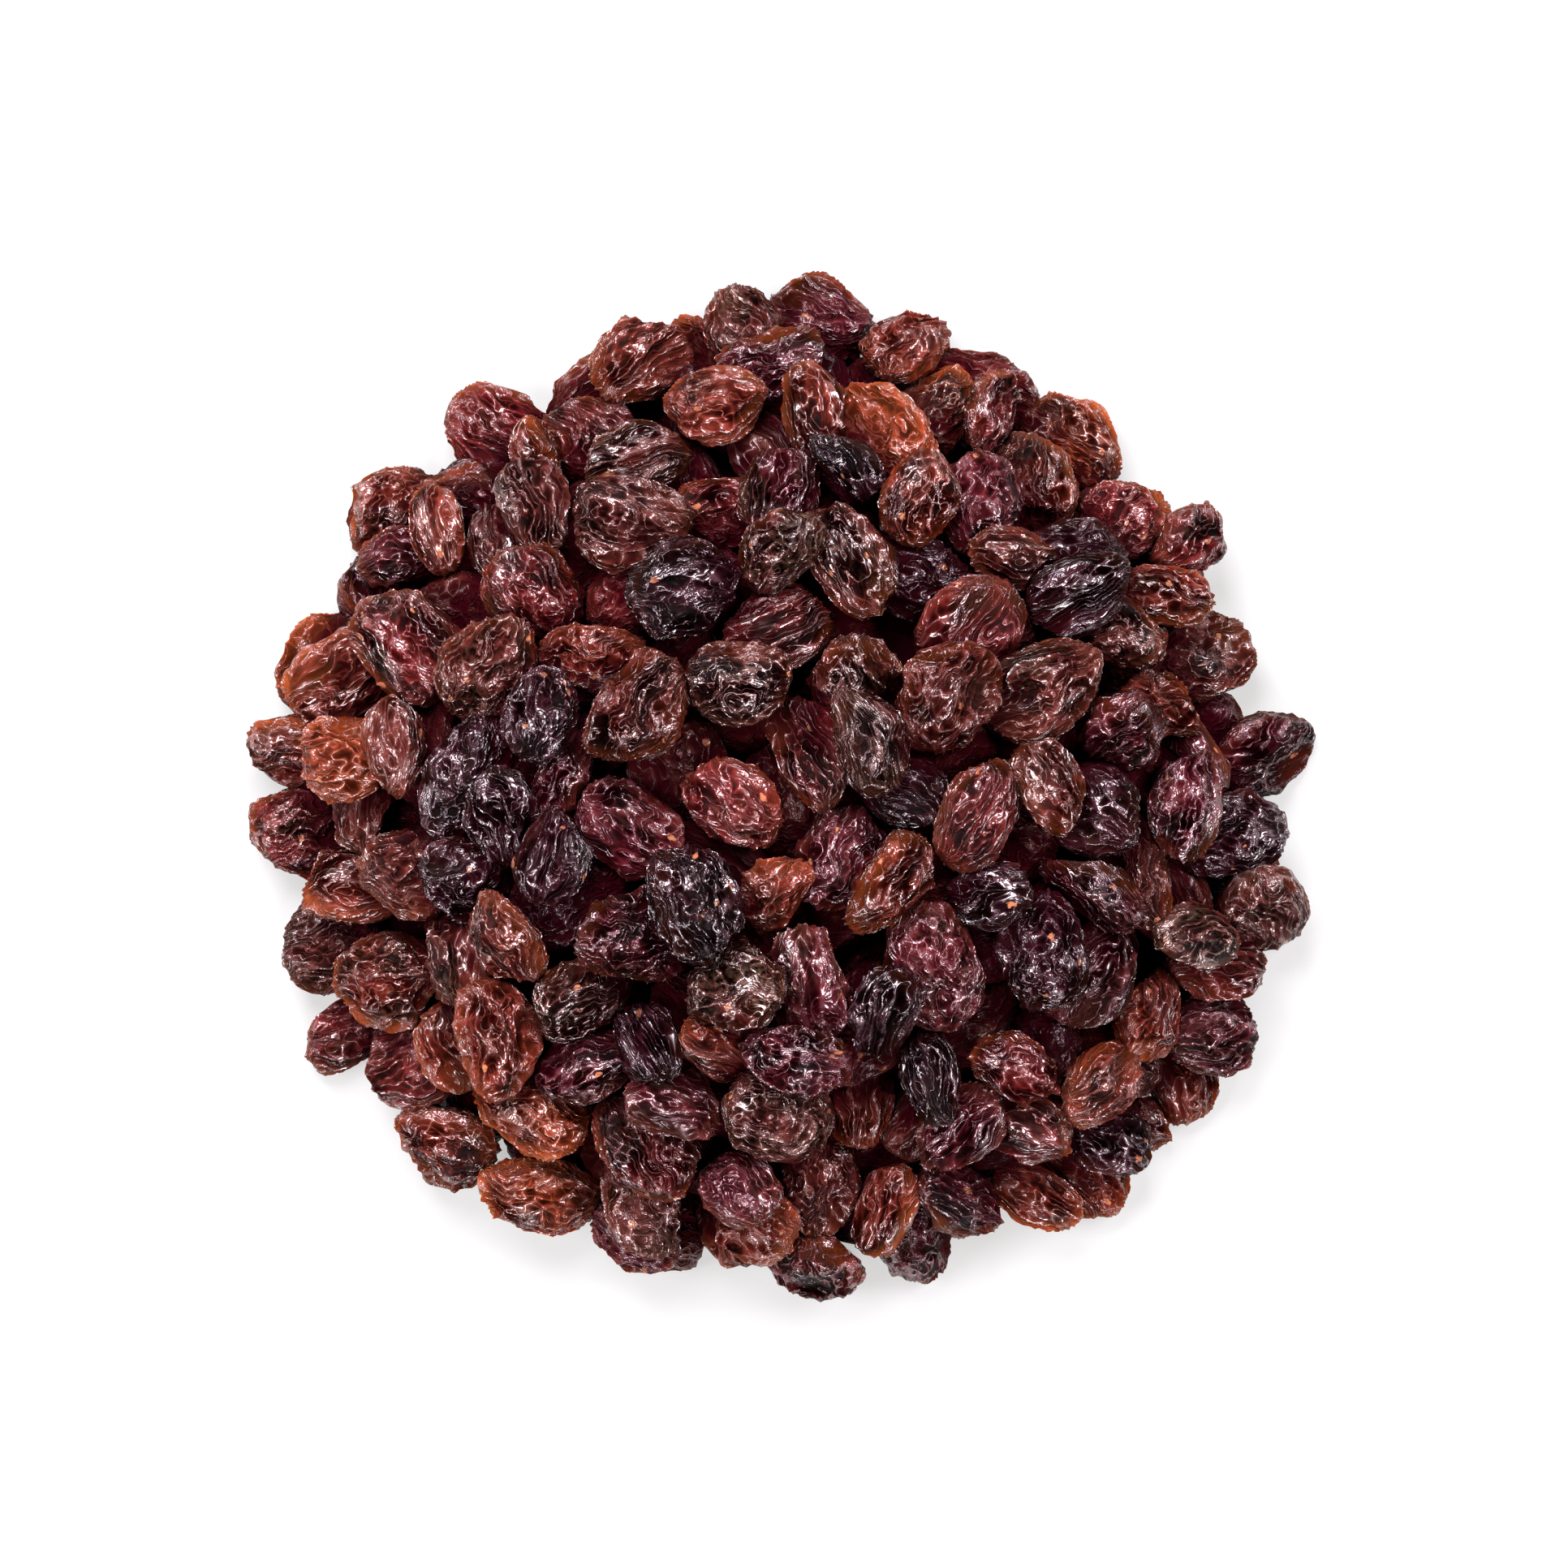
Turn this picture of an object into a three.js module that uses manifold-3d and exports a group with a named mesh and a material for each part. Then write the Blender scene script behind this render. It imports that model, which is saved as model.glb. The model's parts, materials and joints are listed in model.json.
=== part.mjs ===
// A heap of sun-dried sultanas as it lies when tipped out on a flat surface: several hundred
// wrinkled dried grapes that rest on each other in a low round mound, fused into one solid.
// Units are millimetres, +Z is up, and the heap rests on z = 0 with the middle of its plan at the origin.
//
// The grapes are set down one after another. Each is a flattened egg of its own size. It falls on
// what already lies there, rolls to a lower place, and stays if the mound has room for it there.
// A grape that nearly nothing shows of is left out, and a plain core fills the mound instead.

import * as THREE from "three";
import { mergeVertices } from "three/addons/utils/BufferGeometryUtils.js";
import Module from "manifold-3d";

// The mound's plan and profile
const MOUND_RADIUS = 54.2; // of the ring that the outermost grapes' middles reach
const MOUND_HEIGHT = 30.5; // of the topmost grape's middle
const RIM_HEIGHT = 6.4; // of a grape's middle at the rim
const MOUND_FULLNESS = 0.74; // 1 is a parabola, less is steeper at the rim
const PLAN_WAVES = [
  // The plan isn't quite round: times round, share of the radius, and direction in degrees
  { turns: 2, share: 0.023, towards: -4 },
  { turns: 3, share: 0.006, towards: -31 },
  { turns: 4, share: 0.008, towards: -36 },
  { turns: 6, share: 0.008, towards: 30 },
  { turns: 8, share: 0.01, towards: -4 },
];

// One grape
const GRAPE_LENGTH = { least: 10.2, most: 14.6 };
const GRAPE_WIDTH = { least: 0.62, most: 0.92 }; // as a share of the length
const GRAPE_DEPTH = { least: 0.58, most: 0.82 }; // as a share of the width
const WIDEST = 10.6;
const SINKS = 0.6; // soft as it is, each presses this far into what it lies on

// Setting down
const SEED = 20417;
const CELL = 0.75; // of the map of heights
const MAP_HALF = 66; // from the map's middle to its edge
const PLACES = 30; // looked at for each grape, and the lowest is taken
const FEELER = 3; // how far round a place the height is felt
const ATTITUDES = 4; // tried at that place
const FULL_AFTER = 160; // grapes in a row that find no room
const MOST_GRAPES = 700;
const FIRST_LEAN = 30; // degrees off flat, before it settles
const SETTLE_STEPS = [
  { shift: 2, turn: 14 },
  { shift: 2, turn: 14 },
  { shift: 1, turn: 7 },
  { shift: 0.5, turn: 4 },
];
const WORTH_MOVING = 0.02; // a move has to lower the grape by this much

// The core
const CORE_DEPTH = 5; // below the middles of the topmost grapes
const CORE_REACH = 0.96; // of the way out to the rim
const CORE_SIDES = 18;
const CORE_RINGS = 4;
const UNDER_FLOOR = 2; // how far the core and the lowest grapes reach down before the floor cuts them

// The grapes that show, as shares of their plan that nothing lies on
const PLAIN_SHOWS = 0.62; // from here on a grape has its full number of sides
const SOME_SHOWS = 0.2; // less than this and the grape is left out, unless it lies at the rim
const RIM_FROM = 0.84; // of the way out
const SIDES = { plain: { round: 7, along: 4 }, rest: { round: 6, along: 4 } };
const CORNERS = 1.04; // flat sides cut into the round, so the corners stand this much further out

// The peg that joins a grape to the core in place of the ones left out below it
const PEG = { top: 1.4, foot: 2.2, sides: 3 };
const PEG_ROOT = 1; // of the peg inside the core
const GRIP = 0.3; // a grape that reaches less than this into the core gets a peg

const WELD = 1e-4; // corners closer than this are one
const SCRAP_VOLUME = 1; // cubic millimetres

const radians = THREE.MathUtils.degToRad;

/** The same draws in every run: a multiplicative congruential generator. */
class Draws {
  constructor(seed) {
    this.state = seed;
  }
  next() {
    this.state = (this.state * 48271) % 2147483647;
    return this.state / 2147483647;
  }
  between({ least, most }) {
    return least + (most - least) * this.next();
  }
}

/** Radius of the ring of the outermost grapes' middles in a direction. */
function planRadius(angle) {
  let share = 1;
  for (const wave of PLAN_WAVES) {
    share += wave.share * Math.cos(wave.turns * (angle - radians(wave.towards)));
  }
  return MOUND_RADIUS * share;
}

/** How far out a place is, from 0 in the middle to 1 at the ring. */
function outward(x, y) {
  return Math.hypot(x, y) / planRadius(Math.atan2(y, x));
}

/** Height that a grape's middle may have this far out, or 0 outside the mound. */
function moundTop(out) {
  if (out > 1) {
    return 0;
  }
  return RIM_HEIGHT + (MOUND_HEIGHT - RIM_HEIGHT) * (1 - out * out) ** MOUND_FULLNESS;
}

/** Rows of a turn by yaw, pitch and roll: its columns are the directions of length, width and depth. */
function turned(yaw, pitch, roll) {
  const [cy, sy] = [Math.cos(yaw), Math.sin(yaw)];
  const [cp, sp] = [Math.cos(pitch), Math.sin(pitch)];
  const [cr, sr] = [Math.cos(roll), Math.sin(roll)];
  return [
    [cy * cp, cy * sp * sr - sy * cr, cy * sp * cr + sy * sr],
    [sy * cp, sy * sp * sr + cy * cr, sy * sp * cr - cy * sr],
    [-sp, cp * sr, cp * cr],
  ];
}

/** The quadratic form of an egg with these half sizes in this attitude: its surface is where it is 1. */
function eggForm(half, axes) {
  const weight = half.map((h) => 1 / (h * h));
  const entry = (i, j) =>
    axes[i][0] * axes[j][0] * weight[0] +
    axes[i][1] * axes[j][1] * weight[1] +
    axes[i][2] * axes[j][2] * weight[2];
  return {
    xx: entry(0, 0),
    xy: entry(0, 1),
    xz: entry(0, 2),
    yy: entry(1, 1),
    yz: entry(1, 2),
    zz: entry(2, 2),
  };
}

/** How far an egg reaches each way along a world axis. */
function reach(half, axes, axis) {
  return Math.hypot(axes[axis][0] * half[0], axes[axis][1] * half[1], axes[axis][2] * half[2]);
}

/** What lies on the surface so far, as the height of each cell of a square map. */
class HeightMap {
  constructor() {
    this.side = Math.round((2 * MAP_HALF) / CELL);
    this.heights = new Float64Array(this.side * this.side);
    this.topmost = new Array(this.side * this.side).fill(null); // the grape that shows in each cell
  }

  /** Calls visit(cell, low, high) for each cell under an egg, with its surfaces relative to its middle. */
  under(x, y, half, axes, visit) {
    const form = eggForm(half, axes);
    const [reachX, reachY] = [reach(half, axes, 0), reach(half, axes, 1)];
    const first = (middle, r) => Math.max(0, Math.ceil((middle - r + MAP_HALF) / CELL - 0.5));
    const last = (middle, r) => Math.min(this.side - 1, Math.floor((middle + r + MAP_HALF) / CELL - 0.5));
    for (let row = first(y, reachY); row <= last(y, reachY); row++) {
      const dy = (row + 0.5) * CELL - MAP_HALF - y;
      for (let column = first(x, reachX); column <= last(x, reachX); column++) {
        const dx = (column + 0.5) * CELL - MAP_HALF - x;
        const b = form.xz * dx + form.yz * dy;
        const c = form.xx * dx * dx + 2 * form.xy * dx * dy + form.yy * dy * dy - 1;
        const inside = b * b - form.zz * c;
        if (inside > 0) {
          const root = Math.sqrt(inside);
          visit(row * this.side + column, (-b - root) / form.zz, (-b + root) / form.zz);
        }
      }
    }
  }

  /** Sum of the heights at a place and on its four sides. */
  felt(x, y) {
    const at = (dx, dy) => {
      const column = Math.floor((x + dx + MAP_HALF) / CELL);
      const row = Math.floor((y + dy + MAP_HALF) / CELL);
      return this.heights[row * this.side + column];
    };
    return at(0, 0) + at(FEELER, 0) + at(-FEELER, 0) + at(0, FEELER) + at(0, -FEELER);
  }

  /** Height of an egg's middle once it has fallen straight down. */
  restHeight(x, y, half, axes) {
    let rest = 0;
    this.under(x, y, half, axes, (cell, low) => {
      rest = Math.max(rest, this.heights[cell] - low);
    });
    return rest;
  }

  /** Adds a grape to the map. */
  add(grape) {
    this.under(grape.x, grape.y, grape.half, grape.axes, (cell, low, high) => {
      if (grape.z + high > this.heights[cell]) {
        this.heights[cell] = grape.z + high;
        this.topmost[cell] = grape;
      }
    });
  }

  /** Share of a grape's plan that nothing lies on. */
  shows(grape) {
    const tops = [];
    this.under(grape.x, grape.y, grape.half, grape.axes, (cell) => tops.push(this.topmost[cell]));
    return tops.filter((top) => top === grape).length / tops.length;
  }
}

/** A grape in an attitude at a place, with the height at which it rests there. */
function posed(map, half, x, y, yaw, pitch, roll) {
  const axes = turned(yaw, pitch, roll);
  return { half, x, y, yaw, pitch, roll, axes, z: map.restHeight(x, y, half, axes) };
}

/** Rolls and turns a grape to where it lies lower, in smaller and smaller steps. */
function settled(map, grape) {
  let best = grape;
  for (const { shift, turn } of SETTLE_STEPS) {
    const lean = radians(turn);
    for (const [dx, dy, yaw, pitch, roll] of [
      [shift, 0, 0, 0, 0],
      [-shift, 0, 0, 0, 0],
      [0, shift, 0, 0, 0],
      [0, -shift, 0, 0, 0],
      [0, 0, 0, lean, 0],
      [0, 0, 0, -lean, 0],
      [0, 0, 0, 0, lean],
      [0, 0, 0, 0, -lean],
      [0, 0, lean, 0, 0],
      [0, 0, -lean, 0, 0],
    ]) {
      const [x, y] = [best.x + dx, best.y + dy];
      const moved = posed(map, best.half, x, y, best.yaw + yaw, best.pitch + pitch, best.roll + roll);
      if (moved.z < best.z - WORTH_MOVING && outward(x, y) <= 1) {
        best = moved;
      }
    }
  }
  return best;
}

/** A grape's half sizes, drawn within what the fruit measures. */
function drawnHalf(draws) {
  const length = draws.between(GRAPE_LENGTH);
  const width = Math.min(WIDEST, length * draws.between(GRAPE_WIDTH));
  const depth = width * draws.between(GRAPE_DEPTH);
  return [length / 2, width / 2, depth / 2];
}

/** The lowest of some drawn places, as a share of the height that the mound has there. */
function lowestPlace(draws, map) {
  let lowest = { x: 0, y: 0, fill: Infinity };
  for (let n = 0; n < PLACES; n++) {
    const angle = 2 * Math.PI * draws.next();
    const out = planRadius(angle) * Math.sqrt(draws.next());
    const [x, y] = [out * Math.cos(angle), out * Math.sin(angle)];
    const fill = map.felt(x, y) / moundTop(outward(x, y));
    if (fill < lowest.fill) {
      lowest = { x, y, fill };
    }
  }
  return lowest;
}

/** Sets grapes down until the mound is full, and returns them in that order. */
function heapedGrapes() {
  const draws = new Draws(SEED);
  const map = new HeightMap();
  const grapes = [];
  let missed = 0;
  while (missed < FULL_AFTER && grapes.length < MOST_GRAPES) {
    const half = drawnHalf(draws);
    const { x, y } = lowestPlace(draws, map);
    let best = null;
    for (let n = 0; n < ATTITUDES; n++) {
      const yaw = 2 * Math.PI * draws.next();
      const pitch = radians(FIRST_LEAN) * (2 * draws.next() - 1);
      const roll = radians(FIRST_LEAN) * (2 * draws.next() - 1);
      const grape = posed(map, half, x, y, yaw, pitch, roll);
      if (best === null || grape.z < best.z) {
        best = grape;
      }
    }
    const grape = settled(map, best);
    if (grape.z > moundTop(outward(grape.x, grape.y))) {
      missed += 1;
      continue;
    }
    missed = 0;
    map.add(grape);
    grapes.push(grape);
  }
  for (const grape of grapes) {
    grape.shows = map.shows(grape);
    grape.out = outward(grape.x, grape.y);
  }
  return grapes;
}

/** Lets the grapes sink in, moves the middle of their plan to the origin, and returns that move. */
function centred(grapes) {
  const middle = (place, axis) => {
    const low = Math.min(...grapes.map((g) => g[place] - reach(g.half, g.axes, axis)));
    const high = Math.max(...grapes.map((g) => g[place] + reach(g.half, g.axes, axis)));
    return (low + high) / 2;
  };
  const [x, y] = [middle("x", 0), middle("y", 1)];
  for (const grape of grapes) {
    grape.x -= x;
    grape.y -= y;
    grape.z -= SINKS;
  }
  return { x, y };
}

const wasm = await Module();
wasm.setup();

/** A closed geometry as a solid that can be joined and cut. */
function solidOf(geometry) {
  const bare = geometry.index ? geometry.toNonIndexed() : geometry.clone();
  bare.deleteAttribute("normal");
  bare.deleteAttribute("uv");
  const merged = mergeVertices(bare, WELD);
  return new wasm.Manifold(
    new wasm.Mesh({
      numProp: 3,
      vertProperties: merged.attributes.position.array,
      triVerts: new Uint32Array(merged.index.array),
    }),
  );
}

/** A solid as a geometry with flat faces. */
function geometryOf(solid) {
  const mesh = solid.getMesh();
  const geometry = new THREE.BufferGeometry();
  geometry.setAttribute("position", new THREE.BufferAttribute(mesh.vertProperties, 3));
  geometry.setIndex(new THREE.BufferAttribute(mesh.triVerts, 1));
  const flat = geometry.toNonIndexed();
  flat.computeVertexNormals();
  return flat;
}

/** A grape with few sides, at its place. */
function grapeSolid(grape) {
  const { round, along } = grape.shows > PLAIN_SHOWS ? SIDES.plain : SIDES.rest;
  const ball = new THREE.SphereGeometry(CORNERS, round, along).rotateZ(Math.PI / 2);
  const [row0, row1, row2] = grape.axes;
  const [a, b, c] = grape.half;
  const place = new THREE.Matrix4().set(
    row0[0] * a, row0[1] * b, row0[2] * c, grape.x,
    row1[0] * a, row1[1] * b, row1[2] * c, grape.y,
    row2[0] * a, row2[1] * b, row2[2] * c, grape.z,
    0, 0, 0, 1,
  );
  return solidOf(ball.applyMatrix4(place));
}

/** A peg from a grape's middle down into the core, or nothing where the core holds the grape itself. */
function pegSolids(grape) {
  const core = moundTop(Math.min(grape.out, CORE_REACH)) - CORE_DEPTH;
  if (grape.z - reach(grape.half, grape.axes, 2) < core - GRIP) {
    return [];
  }
  const height = grape.z - core + PEG_ROOT;
  const peg = new THREE.CylinderGeometry(PEG.top, PEG.foot, height, PEG.sides).rotateX(Math.PI / 2);
  return [solidOf(peg.translate(grape.x, grape.y, grape.z - height / 2))];
}

/** The plain core, which fills what lies under the grapes that show. */
function coreSolid(shift) {
  const profile = [new THREE.Vector2(0, -UNDER_FLOOR), new THREE.Vector2(CORE_REACH, -UNDER_FLOOR)];
  for (let ring = CORE_RINGS; ring >= 0; ring--) {
    const out = (CORE_REACH * ring) / CORE_RINGS;
    profile.push(new THREE.Vector2(out, moundTop(out) - CORE_DEPTH));
  }
  const core = new THREE.LatheGeometry(profile, CORE_SIDES).rotateX(Math.PI / 2);
  const position = core.attributes.position;
  for (let n = 0; n < position.count; n++) {
    const radius = planRadius(Math.atan2(position.getY(n), position.getX(n)));
    position.setX(n, position.getX(n) * radius - shift.x);
    position.setY(n, position.getY(n) * radius - shift.y);
  }
  return solidOf(core);
}

/** The biggest closed body of a solid, without the hollows that fusing has sealed and any loose scrap. */
function soundBody(solid) {
  const bodies = solid.decompose().filter((body) => body.volume() > SCRAP_VOLUME);
  bodies.sort((one, other) => other.volume() - one.volume());
  return bodies[0];
}

/** The whole heap as one solid, cut flat where it rests. */
function heapSolid() {
  const grapes = heapedGrapes();
  const shift = centred(grapes);
  const shown = grapes.filter((grape) => grape.shows > SOME_SHOWS || grape.out > RIM_FROM);
  const fused = wasm.Manifold.union([
    coreSolid(shift),
    ...shown.map(grapeSolid),
    ...shown.flatMap(pegSolids),
  ]);
  const floor = new THREE.BoxGeometry(4 * MAP_HALF, 4 * MAP_HALF, 2 * MAP_HALF);
  floor.translate(0, 0, -MAP_HALF);
  return soundBody(fused.subtract(solidOf(floor)));
}

const skin = new THREE.MeshStandardMaterial({ color: 0x4a2019, roughness: 0.42, metalness: 0 });
const heap = new THREE.Mesh(geometryOf(heapSolid()), skin);
heap.name = "sultana_heap";

const part = new THREE.Group();
part.add(heap);

export default part;
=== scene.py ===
"""The looks of a heap of sun-dried sultanas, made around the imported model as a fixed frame.

Every sultana is set down again by the rule that the model's solid follows, so each one lies where
the solid has it. Each then gets the shrunken form and the wrinkled, sticky skin of the real fruit.
The heap is worked out in millimetres, and Blender's objects are in metres.
"""

import json
import logging
import math
from dataclasses import dataclass, field
from enum import Enum
from typing import Any, Iterator

import bpy
import numpy as np
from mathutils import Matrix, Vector

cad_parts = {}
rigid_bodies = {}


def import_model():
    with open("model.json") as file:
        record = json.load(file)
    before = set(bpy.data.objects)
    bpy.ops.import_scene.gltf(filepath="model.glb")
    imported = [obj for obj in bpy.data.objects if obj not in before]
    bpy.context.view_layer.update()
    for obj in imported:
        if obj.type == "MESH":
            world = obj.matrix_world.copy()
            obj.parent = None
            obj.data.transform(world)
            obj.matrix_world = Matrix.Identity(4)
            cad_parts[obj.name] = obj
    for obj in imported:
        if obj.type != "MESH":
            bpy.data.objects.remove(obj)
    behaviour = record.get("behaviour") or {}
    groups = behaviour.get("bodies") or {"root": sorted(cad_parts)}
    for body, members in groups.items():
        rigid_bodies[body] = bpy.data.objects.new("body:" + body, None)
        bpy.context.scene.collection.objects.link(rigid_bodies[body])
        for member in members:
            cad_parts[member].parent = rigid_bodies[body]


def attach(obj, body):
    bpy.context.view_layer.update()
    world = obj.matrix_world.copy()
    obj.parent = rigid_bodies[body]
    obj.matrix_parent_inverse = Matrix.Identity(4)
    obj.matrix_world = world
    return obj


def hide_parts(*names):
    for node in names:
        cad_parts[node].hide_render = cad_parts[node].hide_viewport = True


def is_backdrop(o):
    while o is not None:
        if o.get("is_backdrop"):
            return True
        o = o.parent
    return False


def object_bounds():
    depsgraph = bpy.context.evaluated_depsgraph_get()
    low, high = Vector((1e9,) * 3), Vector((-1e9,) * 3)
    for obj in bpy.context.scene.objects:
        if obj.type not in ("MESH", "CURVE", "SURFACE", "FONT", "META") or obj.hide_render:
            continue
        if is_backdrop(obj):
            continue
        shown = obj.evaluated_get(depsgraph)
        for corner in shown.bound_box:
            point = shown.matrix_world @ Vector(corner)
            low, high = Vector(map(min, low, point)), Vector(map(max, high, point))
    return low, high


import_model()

log = logging.getLogger("sultana_heap")

MM = 0.001
NODE = "sultana_heap"
BODY = "root"
FORM_COUNT = 14

Shade = tuple[float, float, float]  # a linear colour


@dataclass
class Draws:
    """The same draws in every run, from a multiplicative congruential generator.

    Attributes:
        state: Where the generator stands, at first its seed.
    """

    state: int

    def next(self) -> float:
        """One draw from 0 to 1."""
        self.state = (self.state * 48271) % 2147483647
        return self.state / 2147483647

    def between(self, least: float, most: float) -> float:
        """One draw from least to most."""
        return least + (most - least) * self.next()

    def sign(self) -> float:
        """Either -1 or 1."""
        return -1.0 if self.next() < 0.5 else 1.0

    def direction(self) -> np.ndarray:
        """Draws a direction in space, all equally likely.

        Returns:
            The direction, of length 1.
        """
        height = self.between(-1.0, 1.0)
        turn = 2 * math.pi * self.next()
        level = math.sqrt(1 - height * height)
        return np.array([level * math.cos(turn), level * math.sin(turn), height])


@dataclass(frozen=True)
class Wave:
    """One way in which the mound's plan departs from a circle.

    Attributes:
        turns: How many times it swells on the way round.
        share: How far it swells, as a share of the radius.
        towards: The direction of its first swelling, in degrees.
    """

    turns: int
    share: float
    towards: float


@dataclass(frozen=True)
class Mound:
    """The plan and profile that the heap fills, in millimetres, as in the model's source.

    Attributes:
        radius: Mean radius that the outermost sultanas' middles reach.
        height: Height that a middle may have at the centre.
        rim_height: Height that it may have at the rim.
        fullness: Power that shapes the profile; a smaller one makes a fuller mound.
        waves: How the plan departs from a circle.
    """

    radius: float = 54.2
    height: float = 30.5
    rim_height: float = 6.4
    fullness: float = 0.74
    waves: tuple[Wave, ...] = (
        Wave(2, 0.023, -4),
        Wave(3, 0.006, -31),
        Wave(4, 0.008, -36),
        Wave(6, 0.008, 30),
        Wave(8, 0.01, -4),
    )

    def ring(self, angle: float) -> float:
        """Radius that the outermost sultanas' middles reach in a direction.

        Args:
            angle: The direction, in radians.

        Returns:
            The radius.
        """
        share = 1.0
        for wave in self.waves:
            share += wave.share * math.cos(wave.turns * (angle - math.radians(wave.towards)))
        return self.radius * share

    def outward(self, x: float, y: float) -> float:
        """How far out a place is, from 0 in the middle to 1 at the ring."""
        return math.hypot(x, y) / self.ring(math.atan2(y, x))

    def top(self, out: float) -> float:
        """Tells how high a sultana's middle may lie.

        Args:
            out: How far out it lies.

        Returns:
            The height, or 0 outside the mound.
        """
        if out > 1:
            return 0.0
        return self.rim_height + (self.height - self.rim_height) * (1 - out * out) ** self.fullness


def turned(yaw: float, pitch: float, roll: float) -> list[list[float]]:
    """Makes a turn from its three angles.

    Args:
        yaw: Turn about the upright.
        pitch: Lean of the length.
        roll: Lean of the width.

    Returns:
        The turn's rows. Its columns are the directions of length, width and depth.
    """
    cy, sy = math.cos(yaw), math.sin(yaw)
    cp, sp = math.cos(pitch), math.sin(pitch)
    cr, sr = math.cos(roll), math.sin(roll)
    return [
        [cy * cp, cy * sp * sr - sy * cr, cy * sp * cr + sy * sr],
        [sy * cp, sy * sp * sr + cy * cr, sy * sp * cr - cy * sr],
        [-sp, cp * sr, cp * cr],
    ]


@dataclass
class Grape:
    """One dried grape at its place in the heap.

    Attributes:
        half: Half its length, width and depth.
        x: Its middle.
        y: Its middle.
        yaw: Turn about the upright.
        pitch: Lean of its length.
        roll: Lean of its width.
        axes: The rows of its turn, whose columns are the directions of length, width and depth.
        z: Height of its middle.
        shows: Share of its plan that nothing lies on.
        out: How far out it lies, from 0 in the middle to 1 at the ring.
    """

    half: tuple[float, float, float]
    x: float
    y: float
    yaw: float
    pitch: float
    roll: float
    axes: list[list[float]] = field(init=False)
    z: float = 0.0
    shows: float = 0.0
    out: float = 0.0

    def __post_init__(self) -> None:
        """Works out the directions of length, width and depth."""
        self.axes = turned(self.yaw, self.pitch, self.roll)

    def reach(self, axis: int) -> float:
        """How far it reaches each way along a world axis."""
        row = self.axes[axis]
        return math.hypot(row[0] * self.half[0], row[1] * self.half[1], row[2] * self.half[2])

    def form(self, i: int, j: int) -> float:
        """Works out the quadratic form whose value is 1 on the grape's surface.

        Args:
            i: Row of the entry.
            j: Column of the entry.

        Returns:
            The entry.
        """
        one, other = self.axes[i], self.axes[j]
        weight = [1 / (h * h) for h in self.half]
        products = [a * b * w for a, b, w in zip(one, other, weight)]
        return products[0] + products[1] + products[2]


class HeightMap:
    """What lies on the surface so far, as the height of each cell of a square map."""

    def __init__(self, cell: float, half: float) -> None:
        """Starts an empty map.

        Args:
            cell: Side of a cell.
            half: Distance from the map's middle to its edge.
        """
        self.cell = cell
        self.half = half
        self.side = round(2 * half / cell)
        self.heights = np.zeros((self.side, self.side))
        self.topmost = np.full((self.side, self.side), -1)
        self.middles = (np.arange(self.side) + 0.5) * cell - half

    def under(self, grape: Grape) -> tuple[tuple[slice, slice], np.ndarray, np.ndarray, np.ndarray]:
        """Finds the cells under a grape.

        Args:
            grape: The grape, of which the height isn't used.

        Returns:
            The block of cells round it, which of them it covers, and its lower and upper surface there.
        """
        first = [
            max(0, math.ceil((middle - reach + self.half) / self.cell - 0.5))
            for middle, reach in ((grape.y, grape.reach(1)), (grape.x, grape.reach(0)))
        ]
        last = [
            min(self.side - 1, math.floor((middle + reach + self.half) / self.cell - 0.5))
            for middle, reach in ((grape.y, grape.reach(1)), (grape.x, grape.reach(0)))
        ]
        block = (slice(first[0], last[0] + 1), slice(first[1], last[1] + 1))
        dy = (self.middles[block[0]] - grape.y)[:, None]
        dx = (self.middles[block[1]] - grape.x)[None, :]
        b = grape.form(0, 2) * dx + grape.form(1, 2) * dy
        c = grape.form(0, 0) * dx * dx + 2 * grape.form(0, 1) * dx * dy
        c = c + grape.form(1, 1) * dy * dy - 1
        upright = grape.form(2, 2)
        inside = b * b - upright * c
        root = np.sqrt(np.maximum(inside, 0))
        return block, inside > 0, (-b - root) / upright, (-b + root) / upright

    def felt(self, x: float, y: float, feeler: float) -> float:
        """Feels how high a place and its surroundings are.

        Args:
            x: The place.
            y: The place.
            feeler: How far off its four sides are felt.

        Returns:
            The sum of the five heights.
        """
        total = 0.0
        for dx, dy in ((0, 0), (feeler, 0), (-feeler, 0), (0, feeler), (0, -feeler)):
            column = math.floor((x + dx + self.half) / self.cell)
            row = math.floor((y + dy + self.half) / self.cell)
            total += float(self.heights[row, column])
        return total

    def drop(self, grape: Grape) -> Grape:
        """Lets a grape fall straight down.

        Args:
            grape: The grape, which gets its height.

        Returns:
            The same grape.
        """
        block, covered, low, _ = self.under(grape)
        grape.z = float(np.where(covered, self.heights[block] - low, 0.0).max())
        return grape

    def add(self, grape: Grape, number: int) -> None:
        """Adds a grape to the map.

        Args:
            grape: The grape at its height.
            number: What it is known by.
        """
        block, covered, _, high = self.under(grape)
        higher = covered & (grape.z + high > self.heights[block])
        self.heights[block][higher] = (grape.z + high)[higher]
        self.topmost[block][higher] = number

    def shows(self, grape: Grape, number: int) -> float:
        """Share of a grape's plan that nothing lies on."""
        block, covered, _, _ = self.under(grape)
        return float((self.topmost[block][covered] == number).mean())


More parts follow.
